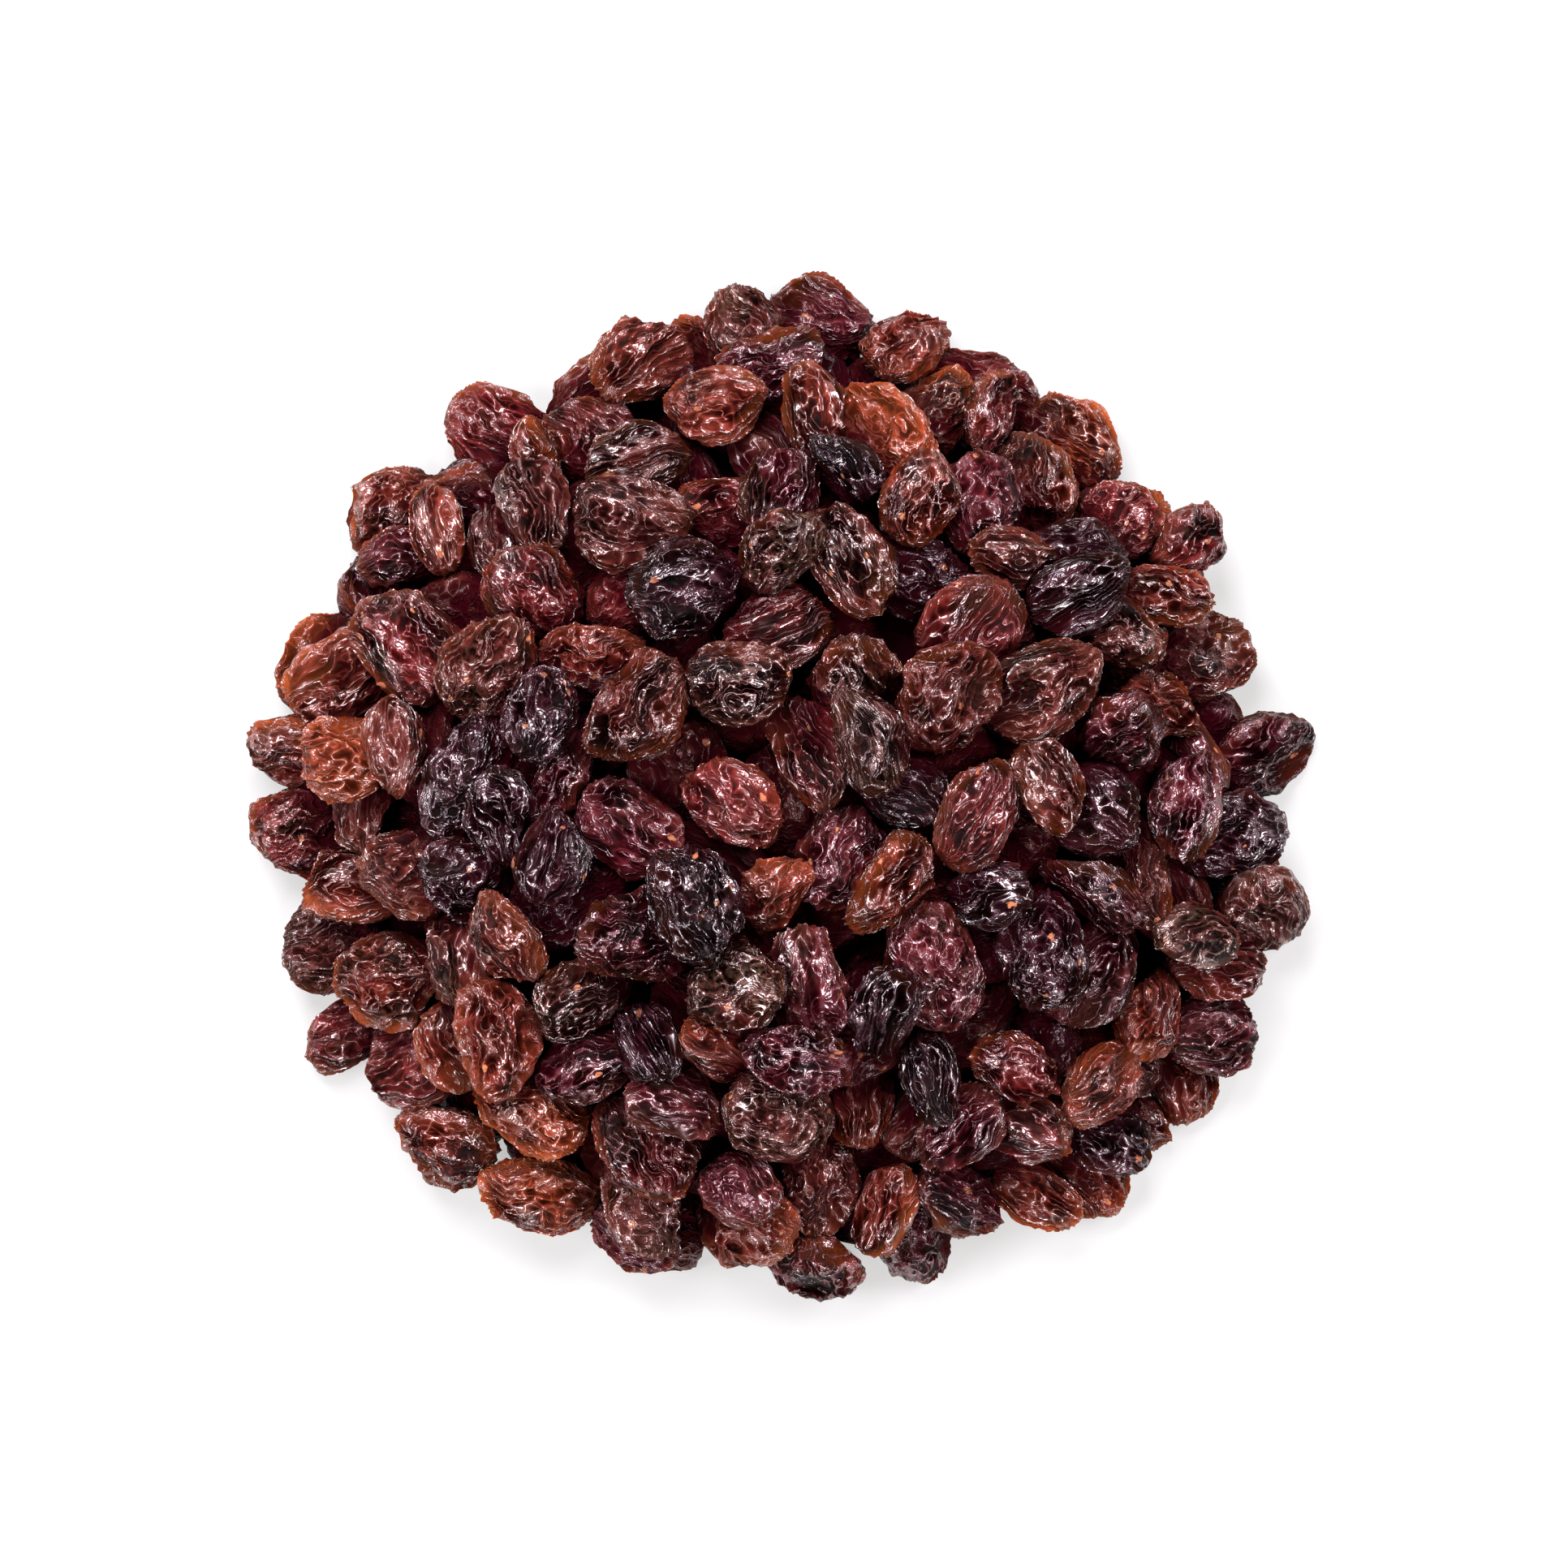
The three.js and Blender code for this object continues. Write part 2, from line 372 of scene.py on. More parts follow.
@dataclass(frozen=True)
class Tipping:
    """How the sultanas are set down one after another, with the model's own numbers.

    Attributes:
        length: Least and most length of a grape.
        width: Least and most width, as a share of its length.
        depth: Least and most depth, as a share of its width.
        widest: The most that any grape is wide.
        sinks: How far every grape sinks into what lies under it.
        seed: What the draws start from.
        cell: Side of a cell of the map of heights.
        map_half: Distance from the map's middle to its edge.
        places: How many places are compared for each grape.
        feeler: How far round a place its height is felt.
        attitudes: How many attitudes are compared for each grape.
        full_after: How many grapes in a row find no room before the mound counts as full.
        most: The most grapes in a heap.
        first_lean: The most that a falling grape leans.
        steps: Shift, and turn in degrees, of each round of moves.
        worth_moving: The least fall that a move is made for.
    """

    length: tuple[float, float] = (10.2, 14.6)
    width: tuple[float, float] = (0.62, 0.92)
    depth: tuple[float, float] = (0.58, 0.82)
    widest: float = 10.6
    sinks: float = 0.6
    seed: int = 20417
    cell: float = 0.75
    map_half: float = 66.0
    places: int = 30
    feeler: float = 3.0
    attitudes: int = 4
    full_after: int = 160
    most: int = 700
    first_lean: float = math.radians(30)
    steps: tuple[tuple[float, float], ...] = ((2, 14), (2, 14), (1, 7), (0.5, 4))
    worth_moving: float = 0.02

    def drawn_half(self, draws: Draws) -> tuple[float, float, float]:
        """Draws a grape's size within what the fruit measures.

        Args:
            draws: Where the draws come from.

        Returns:
            Its half sizes.
        """
        length = draws.between(*self.length)
        width = min(self.widest, length * draws.between(*self.width))
        depth = width * draws.between(*self.depth)
        return length / 2, width / 2, depth / 2

    def lowest_place(self, draws: Draws, heights: HeightMap, mound: Mound) -> tuple[float, float]:
        """Finds the lowest of some drawn places, as a share of the height that the mound has there.

        Args:
            draws: Where the draws come from.
            heights: What lies there so far.
            mound: What the grapes fill.

        Returns:
            The place.
        """
        lowest, fill = (0.0, 0.0), math.inf
        for _ in range(self.places):
            angle = 2 * math.pi * draws.next()
            out = mound.ring(angle) * math.sqrt(draws.next())
            x, y = out * math.cos(angle), out * math.sin(angle)
            top = mound.top(mound.outward(x, y))
            here = heights.felt(x, y, self.feeler) / top if top > 0 else math.inf
            if here < fill:
                lowest, fill = (x, y), here
        return lowest

    def moves(self) -> Iterator[tuple[float, float, float, float, float]]:
        """Lists every move that a settling grape tries.

        Yields:
            The shifts along x and y, and the turns of yaw, pitch and roll.
        """
        for shift, degrees in self.steps:
            turn = math.radians(degrees)
            for number, size in ((0, shift), (1, shift), (3, turn), (4, turn), (2, turn)):
                for way in (size, -size):
                    yield tuple(way if number == index else 0 for index in range(5))

    def settled(self, grape: Grape, heights: HeightMap, mound: Mound) -> Grape:
        """Rolls and turns a grape to where it lies lower.

        Args:
            grape: The grape where it fell.
            heights: What lies there so far.
            mound: What the grapes fill.

        Returns:
            The grape at its lower place.
        """
        best = grape
        for dx, dy, yaw, pitch, roll in self.moves():
            angles = (best.yaw + yaw, best.pitch + pitch, best.roll + roll)
            moved = heights.drop(Grape(best.half, best.x + dx, best.y + dy, *angles))
            if moved.z < best.z - self.worth_moving and mound.outward(moved.x, moved.y) <= 1:
                best = moved
        return best

    def thrown(self, draws: Draws, heights: HeightMap, mound: Mound) -> Grape:
        """Drops one more grape on the heap, in the lowest of some attitudes.

        Args:
            draws: Where the draws come from.
            heights: What lies there so far.
            mound: What the grapes fill.

        Returns:
            The grape where it settles.
        """
        half = self.drawn_half(draws)
        x, y = self.lowest_place(draws, heights, mound)
        best = None
        for _ in range(self.attitudes):
            yaw = 2 * math.pi * draws.next()
            pitch = self.first_lean * (2 * draws.next() - 1)
            roll = self.first_lean * (2 * draws.next() - 1)
            grape = heights.drop(Grape(half, x, y, yaw, pitch, roll))
            if best is None or grape.z < best.z:
                best = grape
        return self.settled(best, heights, mound)

    def heaped(self, mound: Mound) -> list[Grape]:
        """Sets grapes down until the mound is full.

        Args:
            mound: What they fill.

        Returns:
            The grapes in the order that they fell, sunk in and with the middle of their plan at the origin.
        """
        draws = Draws(self.seed)
        heights = HeightMap(self.cell, self.map_half)
        grapes: list[Grape] = []
        missed = 0
        while missed < self.full_after and len(grapes) < self.most:
            grape = self.thrown(draws, heights, mound)
            if grape.z > mound.top(mound.outward(grape.x, grape.y)):
                missed += 1
                continue
            missed = 0
            heights.add(grape, len(grapes))
            grapes.append(grape)
        for number, grape in enumerate(grapes):
            grape.shows = heights.shows(grape, number)
            grape.out = mound.outward(grape.x, grape.y)
        self.centre(grapes)
        return grapes

    def centre(self, grapes: list[Grape]) -> None:
        """Lets the grapes sink in, and moves the middle of their plan to the origin.

        Args:
            grapes: The heap.
        """
        x = (min(g.x - g.reach(0) for g in grapes) + max(g.x + g.reach(0) for g in grapes)) / 2
        y = (min(g.y - g.reach(1) for g in grapes) + max(g.y + g.reach(1) for g in grapes)) / 2
        for grape in grapes:
            grape.x -= x
            grape.y -= y
            grape.z -= self.sinks


class Gaps:
    """How deep a place lies in the gaps between the grapes, below the heap's blurred upper side, which sets
    the painted shade in the gaps.
    """

    def __init__(self, grapes: list[Grape], cell: float = 0.75, half: float = 66.0, blur: int = 5) -> None:
        """Maps the upper side.

        Args:
            grapes: The heap.
            cell: Side of a cell of the map, in millimetres.
            half: Distance from the map's middle to its edge, in millimetres.
            blur: Cells each way that the upper side is averaged over, twice.
        """
        self.top = HeightMap(cell, half)
        for number, grape in enumerate(grapes):
            self.top.add(grape, number)
        kernel = np.ones(2 * blur + 1) / (2 * blur + 1)
        self.blurred = self.top.heights
        for axis in (0, 1, 0, 1):
            self.blurred = np.apply_along_axis(np.convolve, axis, self.blurred, kernel, "same")

    def store_on(self, mesh: bpy.types.Mesh) -> None:
        """Stores on each point of a mesh how many millimetres it lies below the blurred upper side.

        Args:
            mesh: The mesh, in metres, which gets the attribute sunk.
        """
        places = np.empty(3 * len(mesh.vertices))
        mesh.vertices.foreach_get("co", places)
        x, y, z = places.reshape(-1, 3).T / MM
        column = np.clip((x + self.top.half) / self.top.cell, 0, self.top.side - 1).astype(int)
        row = np.clip((y + self.top.half) / self.top.cell, 0, self.top.side - 1).astype(int)
        store(mesh, "sunk", "FLOAT", self.blurred[row, column] - z)


MOSTLY_SEEN = 0.34  # share of a grape's plan that shows
BARELY_SEEN = 0.03
NEAR_RIM = 0.8  # share of the way out to the mound's ring


class Detail(Enum):
    """How finely a sultana is meshed, by how much of it shows. The value is the cells along an edge."""

    FINE = 20
    PLAIN = 11
    COARSE = 6

    @classmethod
    def of(cls, grape: Grape) -> "Detail":
        """Chooses how finely a grape is meshed.

        Args:
            grape: The grape.

        Returns:
            The detail that it needs.
        """
        if grape.shows > MOSTLY_SEEN:
            return cls.FINE
        return cls.PLAIN if grape.shows > BARELY_SEEN or grape.out > NEAR_RIM else cls.COARSE


def quad_ball(cells: int) -> tuple[np.ndarray, np.ndarray]:
    """Meshes a ball from the six sides of a cube, with no pole and nearly even squares.

    Args:
        cells: Squares along an edge of the cube.

    Returns:
        Points on the unit ball, and the four corners of each face with its front outwards.
    """
    steps = np.tan(np.linspace(-1, 1, cells + 1) * math.pi / 4)
    u, v = np.meshgrid(steps, steps, indexing="ij")
    one = np.ones_like(u)
    sides = [(one, u, v), (-one, v, u), (v, one, u), (u, -one, v), (u, v, one), (v, u, -one)]
    points = np.concatenate([np.stack(side, -1).reshape(-1, 3) for side in sides])
    points /= np.linalg.norm(points, axis=1, keepdims=True)
    _, first, number = np.unique(np.round(points, 6), axis=0, return_index=True, return_inverse=True)
    grid = np.arange((cells + 1) ** 2).reshape(cells + 1, cells + 1)
    square = np.stack([grid[:-1, :-1], grid[1:, :-1], grid[1:, 1:], grid[:-1, 1:]], -1).reshape(-1, 4)
    squares = np.concatenate([square + side * grid.size for side in range(len(sides))])
    return points[first], number.reshape(-1)[squares]


def mesh_of(name: str, points: np.ndarray, faces: np.ndarray) -> bpy.types.Mesh:
    """Makes a mesh.

    Args:
        name: Its name.
        points: Its points.
        faces: The corners of each face, which all have the same number.

    Returns:
        The mesh.
    """
    mesh = bpy.data.meshes.new(name)
    mesh.from_pydata(points.tolist(), [], faces.tolist())
    mesh.update()
    return mesh


def store(mesh: bpy.types.Mesh, name: str, kind: str, values: np.ndarray) -> None:
    """Stores one value for each point of a mesh.

    Args:
        mesh: The mesh.
        name: The attribute's name.
        kind: FLOAT, INT or FLOAT_VECTOR.
        values: One row for each point.
    """
    key = "vector" if kind == "FLOAT_VECTOR" else "value"
    mesh.attributes.new(name, kind, "POINT").data.foreach_set(key, values.ravel())


@dataclass(frozen=True)
class Form:
    """One way in which a grape shrinks: how it tapers and bends, and where its sides cave in.

    Attributes:
        number: Which of the forms it is, which also seeds it.
        dents: How many sides cave in.
        dent_plane: Least and most distance from the middle at which a side caves in, on a ball of radius 1.
        dent_edge: How rounded the rim of a caved side is.
        dent_upright: How much likelier the upper and lower sides are to cave in than the edge.
        towards_top: How far the points crowd to the upper side, which is the one that shows.
        taper: Least and most by which one end is thicker than the other.
        bend: Least and most that it bends to a side.
        arch: Least and most that it bends up.
        level: Square of the place along it that a bend leaves where it is.
    """

    number: int
    dents: tuple[int, int] = (3, 7)
    dent_plane: tuple[float, float] = (0.73, 0.93)
    dent_edge: float = 0.08
    dent_upright: float = 2.0
    towards_top: float = 0.4
    taper: tuple[float, float] = (-0.2, 0.2)
    bend: tuple[float, float] = (0.0, 0.32)
    arch: tuple[float, float] = (-0.2, 0.12)
    level: float = 0.4

    SEED = 7001
    SEED_STEP = 97

    def shrunk(self, unit: np.ndarray) -> np.ndarray:
        """Shrinks a ball into the form.

        Args:
            unit: Points on the unit ball.

        Returns:
            The same points on the form, which just fills the cube from -1 to 1.
        """
        draws = Draws(self.SEED + self.SEED_STEP * self.number)
        points = unit.copy()
        for _ in range(round(draws.between(*self.dents))):
            into = draws.direction() * np.array([1, 1, self.dent_upright])
            into /= np.linalg.norm(into)
            past = np.maximum(points @ into - draws.between(*self.dent_plane), 0)
            points -= np.outer(2 * past**2 / (past + self.dent_edge), into)
        along = points[:, 0]
        points[:, 1:] *= (1 + draws.between(*self.taper) * along)[:, None]
        points[:, 1] += draws.between(*self.bend) * draws.sign() * (along**2 - self.level)
        points[:, 2] += draws.between(*self.arch) * (along**2 - self.level)
        low, high = points.min(0), points.max(0)
        return (points - (low + high) / 2) / ((high - low) / 2)

    def mesh(self, detail: Detail) -> bpy.types.Mesh:
        """Makes the form as a mesh that remembers its own place on the grape as form_co.

        Args:
            detail: How fine it is.

        Returns:
            The mesh.
        """
        unit, faces = quad_ball(detail.value)
        unit = unit + np.array([0, 0, self.towards_top])
        unit /= np.linalg.norm(unit, axis=1, keepdims=True)
        points = self.shrunk(unit)
        mesh = mesh_of(f"form_{detail.name.lower()}_{self.number:02d}", points, faces)
        store(mesh, "form_co", "FLOAT_VECTOR", points)
        return mesh


class FormDrawer:
    """The collection that holds every form in every detail, to be set down in the heap."""

    def __init__(self, count: int) -> None:
        """Makes the forms.

        Args:
            count: How many different forms there are.
        """
        self.count = count
        self.collection = bpy.data.collections.new("forms")
        for detail in Detail:
            for number in range(count):
                mesh = Form(number).mesh(detail)
                self.collection.objects.link(bpy.data.objects.new(mesh.name, mesh))
        self.order = sorted(o.name for o in self.collection.objects)

    def index(self, detail: Detail, number: int) -> int:
        """Where a form stands among the collection's instances, which go by name."""
        return self.order.index(f"form_{detail.name.lower()}_{number:02d}")

    def clear(self) -> None:
        """Takes the forms out of the file again."""
        for form in list(self.collection.objects):
            mesh = form.data
            bpy.data.objects.remove(form)
            bpy.data.meshes.remove(mesh)
        bpy.data.collections.remove(self.collection)


class Wiring:
    """A node tree with short calls to add and join its nodes. Lengths in it are millimetres."""

    def __init__(self, tree: bpy.types.NodeTree) -> None:
        """Takes an empty tree."""
        self.tree = tree

    def add(self, kind: str, **settings: Any) -> bpy.types.Node:
        """Adds a node.

        Args:
            kind: Its type.
            settings: Some of its settings, by name.

        Returns:
            The node.
        """
        node = self.tree.nodes.new(kind)
        for name, value in settings.items():
            setattr(node, name, value)
        return node

    def put(self, socket: bpy.types.NodeSocket, value: Any) -> None:
        """Joins a socket to another one, or sets it to a plain value.

        Args:
            socket: The socket to fill.
            value: Another socket, or a plain value.
        """
        if isinstance(value, bpy.types.NodeSocket):
            self.tree.links.new(value, socket)
        else:
            socket.default_value = value

    def math(self, operation: str, one: Any, other: Any = 0.0, clamp: bool = False) -> bpy.types.NodeSocket:
        """Adds a sum on two values.

        Args:
            operation: The sum.
            one: The first value.
            other: The other value.
            clamp: Whether the result is kept from 0 to 1.

        Returns:
            The result.
        """
        node = self.add("ShaderNodeMath", operation=operation, use_clamp=clamp)
        self.put(node.inputs[0], one)
        self.put(node.inputs[1], other)
        return node.outputs[0]

    def sloped(self, value: Any, factor: Any, offset: float) -> bpy.types.NodeSocket:
        """A value times a factor, plus an offset."""
        return self.math("ADD", self.math("MULTIPLY", value, factor), offset)

    def vector(self, operation: str, one: Any, other: Any) -> bpy.types.NodeSocket:
        """Adds a sum on two vectors.

        Args:
            operation: The sum.
            one: The first vector.
            other: The other vector.

        Returns:
            The result.
        """
        node = self.add("ShaderNodeVectorMath", operation=operation)
        self.put(node.inputs[0], one)
        self.put(node.inputs[1], other)
        return node.outputs[0]

    def scaled(self, vector: Any, factor: Any) -> bpy.types.NodeSocket:
        """Scales a vector.

        Args:
            vector: The vector.
            factor: The number that it is multiplied by.

        Returns:
            The longer or shorter vector.
        """
        node = self.add("ShaderNodeVectorMath", operation="SCALE")
        self.put(node.inputs[0], vector)
        self.put(node.inputs["Scale"], factor)
        return node.outputs[0]

    def noise(self, place: Any, size: Any, detail: float = 0.0, warp: float = 0.0) -> bpy.types.NodeSocket:
        """Soft noise.

        Args:
            place: Where it is read.
            size: How large its lumps are.
            detail: How many finer layers it has.
            warp: How far it is bent by itself.

        Returns:
            A value from 0 to 1, with 0.5 in the middle.
        """
        node = self.add("ShaderNodeTexNoise")
        self.put(node.inputs["Vector"], place)
        self.put(node.inputs["Scale"], self.math("DIVIDE", 1.0, size))
        self.put(node.inputs["Detail"], detail)
        self.put(node.inputs["Distortion"], warp)
        return node.outputs[0]

    def ridges(self, place: Any, size: Any, width: float = 0.07, warp: float = 0.0) -> bpy.types.NodeSocket:
        """Narrow round ridges that wind between broad hollows.

        Args:
            place: Where they are read.
            size: How far apart they are.
            width: How far from the crest a ridge is half as high, in values of the noise.
            warp: How much they wind.

        Returns:
            1 on the crest, down to near 0 in the hollows.
        """
        off = self.math("DIVIDE", self.math("SUBTRACT", self.noise(place, size, 0.0, warp), 0.5), width)
        return self.math("DIVIDE", 1.0, self.math("ADD", 1.0, self.math("MULTIPLY", off, off)))

    def streams(self, run: Any, spacing: Any, width: float = 0.3) -> bpy.types.NodeSocket:
        """Narrow round ridges along the lines on which a field has a whole number of spacings.

        Args:
            run: The field, in millimetres.
            spacing: How far apart the ridges are.
            width: How wide they are, as a share of the spacing.

        Returns:
            1 on the crest, down to near 0 in the hollows.
        """
        phase = self.math("MULTIPLY", self.math("DIVIDE", run, spacing), math.pi)
        off = self.math("DIVIDE", self.math("SINE", phase), width)
        return self.math("DIVIDE", 1.0, self.math("ADD", 1.0, self.math("MULTIPLY", off, off)))

    def ramp(self, value: Any, start: float, end: float) -> bpy.types.NodeSocket:
        """Climbs smoothly from 0 to 1.

        Args:
            value: What the climb depends on.
            start: The value where it begins.
            end: The value where it is done.

        Returns:
            The height of the climb.
        """
        node = self.add("ShaderNodeMapRange", interpolation_type="SMOOTHSTEP")
        self.put(node.inputs["Value"], value)
        node.inputs["From Min"].default_value = start
        node.inputs["From Max"].default_value = end
        return node.outputs[0]


class CrinkleTree(Wiring):
    """The Geometry Nodes that set forms down on points, and fold and wrinkle their skins."""

    SIZES = {
        "Fold size": 5.2,
        "Fold depth": 0.66,
        "Wrinkle spacing": 1.9,
        "Wrinkle depth": 0.46,
        "Knot size": 2.4,
        "Knot depth": 0.16,
        "Flow size": 3.8,
        "Flow reach": 6.0,
        "Wiggle size": 1.5,
        "Wiggle reach": 1.5,
    }
    WAIST = 4.5  # usual distance from a grape's middle line to its skin
    RESTING = 0.53  # share of a ridge's height that lies under the smooth skin
    COMBED_FROM = (0.1, 0.75)  # how far from its middle line the wrinkles start to run lengthwise
    SWELL_SIZE = 3.4
    SWELL = (0.3, 0.52)
    FOLD_WIDTH = 0.11
    FOLD_WARP = 0.3
    KNOT_WIDTH = 0.07
    KNOT_WARP = 0.5
    EDGE = 1.7  # how soon a grape is too thick for light, going from its edge to its flat side
    RIM_FROM = 42.0  # distance from the heap's middle at which its rim begins
    RIM_WIDTH = 12.0
    RIM_GLOW = 0.65
    EDGE_GLOW = 0.2

    def __init__(self) -> None:
        """Builds the tree."""
        super().__init__(bpy.data.node_groups.new("crinkle", "GeometryNodeTree"))
        face = self.tree.interface
        face.new_socket("Geometry", in_out="INPUT", socket_type="NodeSocketGeometry")
        face.new_socket("Forms", in_out="INPUT", socket_type="NodeSocketCollection")
        face.new_socket("Skin", in_out="INPUT", socket_type="NodeSocketMaterial")
        for name in self.SIZES:
            face.new_socket(name, in_out="INPUT", socket_type="NodeSocketFloat")
        face.new_socket("Geometry", in_out="OUTPUT", socket_type="NodeSocketGeometry")
        self.given = self.add("NodeGroupInput").outputs
        self.build()

    def named(self, name: str, kind: str = "FLOAT") -> bpy.types.NodeSocket:
        """Reads a stored attribute.

        Args:
            name: Its name.
            kind: Its type.

        Returns:
            Its value.
        """
        node = self.add("GeometryNodeInputNamedAttribute", data_type=kind)
        node.inputs["Name"].default_value = name
        return node.outputs["Attribute"]

    def kept(self, geometry: Any, name: str, value: Any, kind: str = "FLOAT") -> bpy.types.NodeSocket:
        """Stores a value on a geometry's points.

        Args:
            geometry: The geometry.
            name: The attribute's name.
            value: What is stored.
            kind: The attribute's type.

        Returns:
            The geometry with the attribute.
        """
        node = self.add("GeometryNodeStoreNamedAttribute", data_type=kind, domain="POINT")
        self.put(node.inputs["Geometry"], geometry)
        node.inputs["Name"].default_value = name
        self.put(node.inputs["Value"], value)
        return node.outputs[0]

    def set_down(self) -> bpy.types.NodeSocket:
        """Sets a form down on every point, turned and sized as the point says.

        Returns:
            All the forms as one mesh.
        """
        forms = self.add("GeometryNodeCollectionInfo")
        self.put(forms.inputs["Collection"], self.given["Forms"])
        forms.inputs["Separate Children"].default_value = True
        forms.inputs["Reset Children"].default_value = True
        turn = self.add("FunctionNodeEulerToRotation")
        self.put(turn.inputs[0], self.named("turn", "FLOAT_VECTOR"))
        scatter = self.add("GeometryNodeInstanceOnPoints")
        self.put(scatter.inputs["Points"], self.given["Geometry"])
        self.put(scatter.inputs["Instance"], forms.outputs[0])
        scatter.inputs["Pick Instance"].default_value = True
        self.put(scatter.inputs["Instance Index"], self.named("form", "INT"))
        self.put(scatter.inputs["Rotation"], turn.outputs[0])
        self.put(scatter.inputs["Scale"], self.named("half", "FLOAT_VECTOR"))
        whole = self.add("GeometryNodeRealizeInstances")
        self.put(whole.inputs[0], scatter.outputs[0])
        return whole.outputs[0]

    def run(self, place: Any) -> bpy.types.NodeSocket:
        """Makes the field that the wrinkles follow: round the grape's length, bent by slow and quick noise.

        Args:
            place: Place on the skin.

        Returns:
            The field, in millimetres.
        """
        across = self.add("ShaderNodeSeparateXYZ")
        self.put(across.inputs[0], self.named("form_co", "FLOAT_VECTOR"))
        round_length = self.math("ARCTAN2", across.outputs[1], across.outputs[2])
        off = self.add("ShaderNodeCombineXYZ")
        self.put(off.inputs[1], across.outputs[1])
        self.put(off.inputs[2], across.outputs[2])
        away = self.add("ShaderNodeVectorMath", operation="LENGTH")
        self.put(away.inputs[0], off.outputs[0])
        combed = self.ramp(away.outputs["Value"], *self.COMBED_FROM)
        combed = self.math("MULTIPLY", combed, self.named("combed"))
        field = self.math("MULTIPLY", self.math("MULTIPLY", round_length, self.WAIST), combed)
        for size, reach in (("Flow size", "Flow reach"), ("Wiggle size", "Wiggle reach")):
            bend = self.math("SUBTRACT", self.noise(place, self.given[size]), 0.5)
            field = self.math("ADD", field, self.math("MULTIPLY", bend, self.given[reach]))
        return field

    def painted_glow_at_edges(self) -> bpy.types.NodeSocket:
        """Finds where to paint the glow of light that comes through: round a grape's edge, most where it
        faces out of the heap.

        Returns:
            From 0 to 1.
        """
        across = self.add("ShaderNodeSeparateXYZ")
        self.put(across.inputs[0], self.named("form_co", "FLOAT_VECTOR"))
        edge = self.math("MULTIPLY", self.math("ABSOLUTE", across.outputs[2]), self.EDGE)
        edge = self.math("SUBTRACT", 1.0, edge, clamp=True)
        place = self.add("GeometryNodeInputPosition").outputs[0]
        place = self.vector("MULTIPLY", place, (1 / MM, 1 / MM, 0.0))
        away = self.add("ShaderNodeVectorMath", operation="LENGTH")
        self.put(away.inputs[0], place)
        rim = self.math("SUBTRACT", away.outputs["Value"], self.RIM_FROM)
        rim = self.math("DIVIDE", rim, self.RIM_WIDTH, clamp=True)
        facing = self.add("ShaderNodeVectorMath", operation="DOT_PRODUCT")
        self.put(facing.inputs[0], self.add("GeometryNodeInputNormal").outputs[0])
        self.put(facing.inputs[1], self.vector("NORMALIZE", place, (0.0, 0.0, 0.0)))
        out = self.math("MULTIPLY", facing.outputs["Value"], rim, clamp=True)
        return self.math("MULTIPLY", edge, self.sloped(out, self.RIM_GLOW, self.EDGE_GLOW))

    def build(self) -> None:
        """Joins up the whole tree."""
        size = self.scaled(self.named("half", "FLOAT_VECTOR"), 1 / MM)
        skin = self.vector("MULTIPLY", self.named("form_co", "FLOAT_VECTOR"), size)
        skin = self.vector("MULTIPLY", skin, self.named("grain", "FLOAT_VECTOR"))
        skin = self.vector("ADD", skin, self.named("seat", "FLOAT_VECTOR"))
        geometry = self.kept(self.set_down(), "skin_co", skin, "FLOAT_VECTOR")
        place = self.named("skin_co", "FLOAT_VECTOR")
        geometry = self.kept(geometry, "run", self.run(place))
        geometry = self.kept(geometry, "swell", self.ramp(self.noise(place, self.SWELL_SIZE), *self.SWELL))
        folds = self.ridges(place, self.given["Fold size"], self.FOLD_WIDTH, self.FOLD_WARP)
        wrinkles = self.streams(self.named("run"), self.given["Wrinkle spacing"])
        wrinkles = self.math("MULTIPLY", wrinkles, self.sloped(self.named("swell"), 0.7, 0.3))
        knots = self.ridges(place, self.given["Knot size"], self.KNOT_WIDTH, self.KNOT_WARP)
        depth = 0.0
        for ridge, name in ((folds, "Fold depth"), (wrinkles, "Wrinkle depth"), (knots, "Knot depth")):
            above = self.math("SUBTRACT", ridge, self.RESTING)
            depth = self.math("ADD", depth, self.math("MULTIPLY", above, self.given[name]))
        depth = self.math("MULTIPLY", depth, self.named("crinkle"))
        crest = self.math("ADD", self.math("MULTIPLY", folds, 0.5), self.math("MULTIPLY", knots, 0.5))
        geometry = self.kept(geometry, "crest", crest)
        geometry = self.kept(geometry, "painted_glow", self.painted_glow_at_edges())
        moved = self.add("GeometryNodeSetPosition")
        self.put(moved.inputs["Geometry"], geometry)
        normal = self.add("GeometryNodeInputNormal")
        self.put(moved.inputs["Offset"], self.scaled(normal.outputs[0], self.math("MULTIPLY", depth, MM)))
        floor = self.add("GeometryNodeSetPosition")
        self.put(floor.inputs["Geometry"], moved.outputs[0])
        place = self.add("GeometryNodeInputPosition").outputs[0]
        self.put(floor.inputs["Position"], self.vector("MAXIMUM", place, (-1.0, -1.0, 0.0)))
        smooth = self.add("GeometryNodeSetShadeSmooth")
        self.put(smooth.inputs["Geometry"], floor.outputs[0])
        dressed = self.add("GeometryNodeSetMaterial")
        self.put(dressed.inputs["Geometry"], smooth.outputs[0])
        self.put(dressed.inputs["Material"], self.given["Skin"])
        self.put(self.add("NodeGroupOutput").inputs[0], dressed.outputs[0])

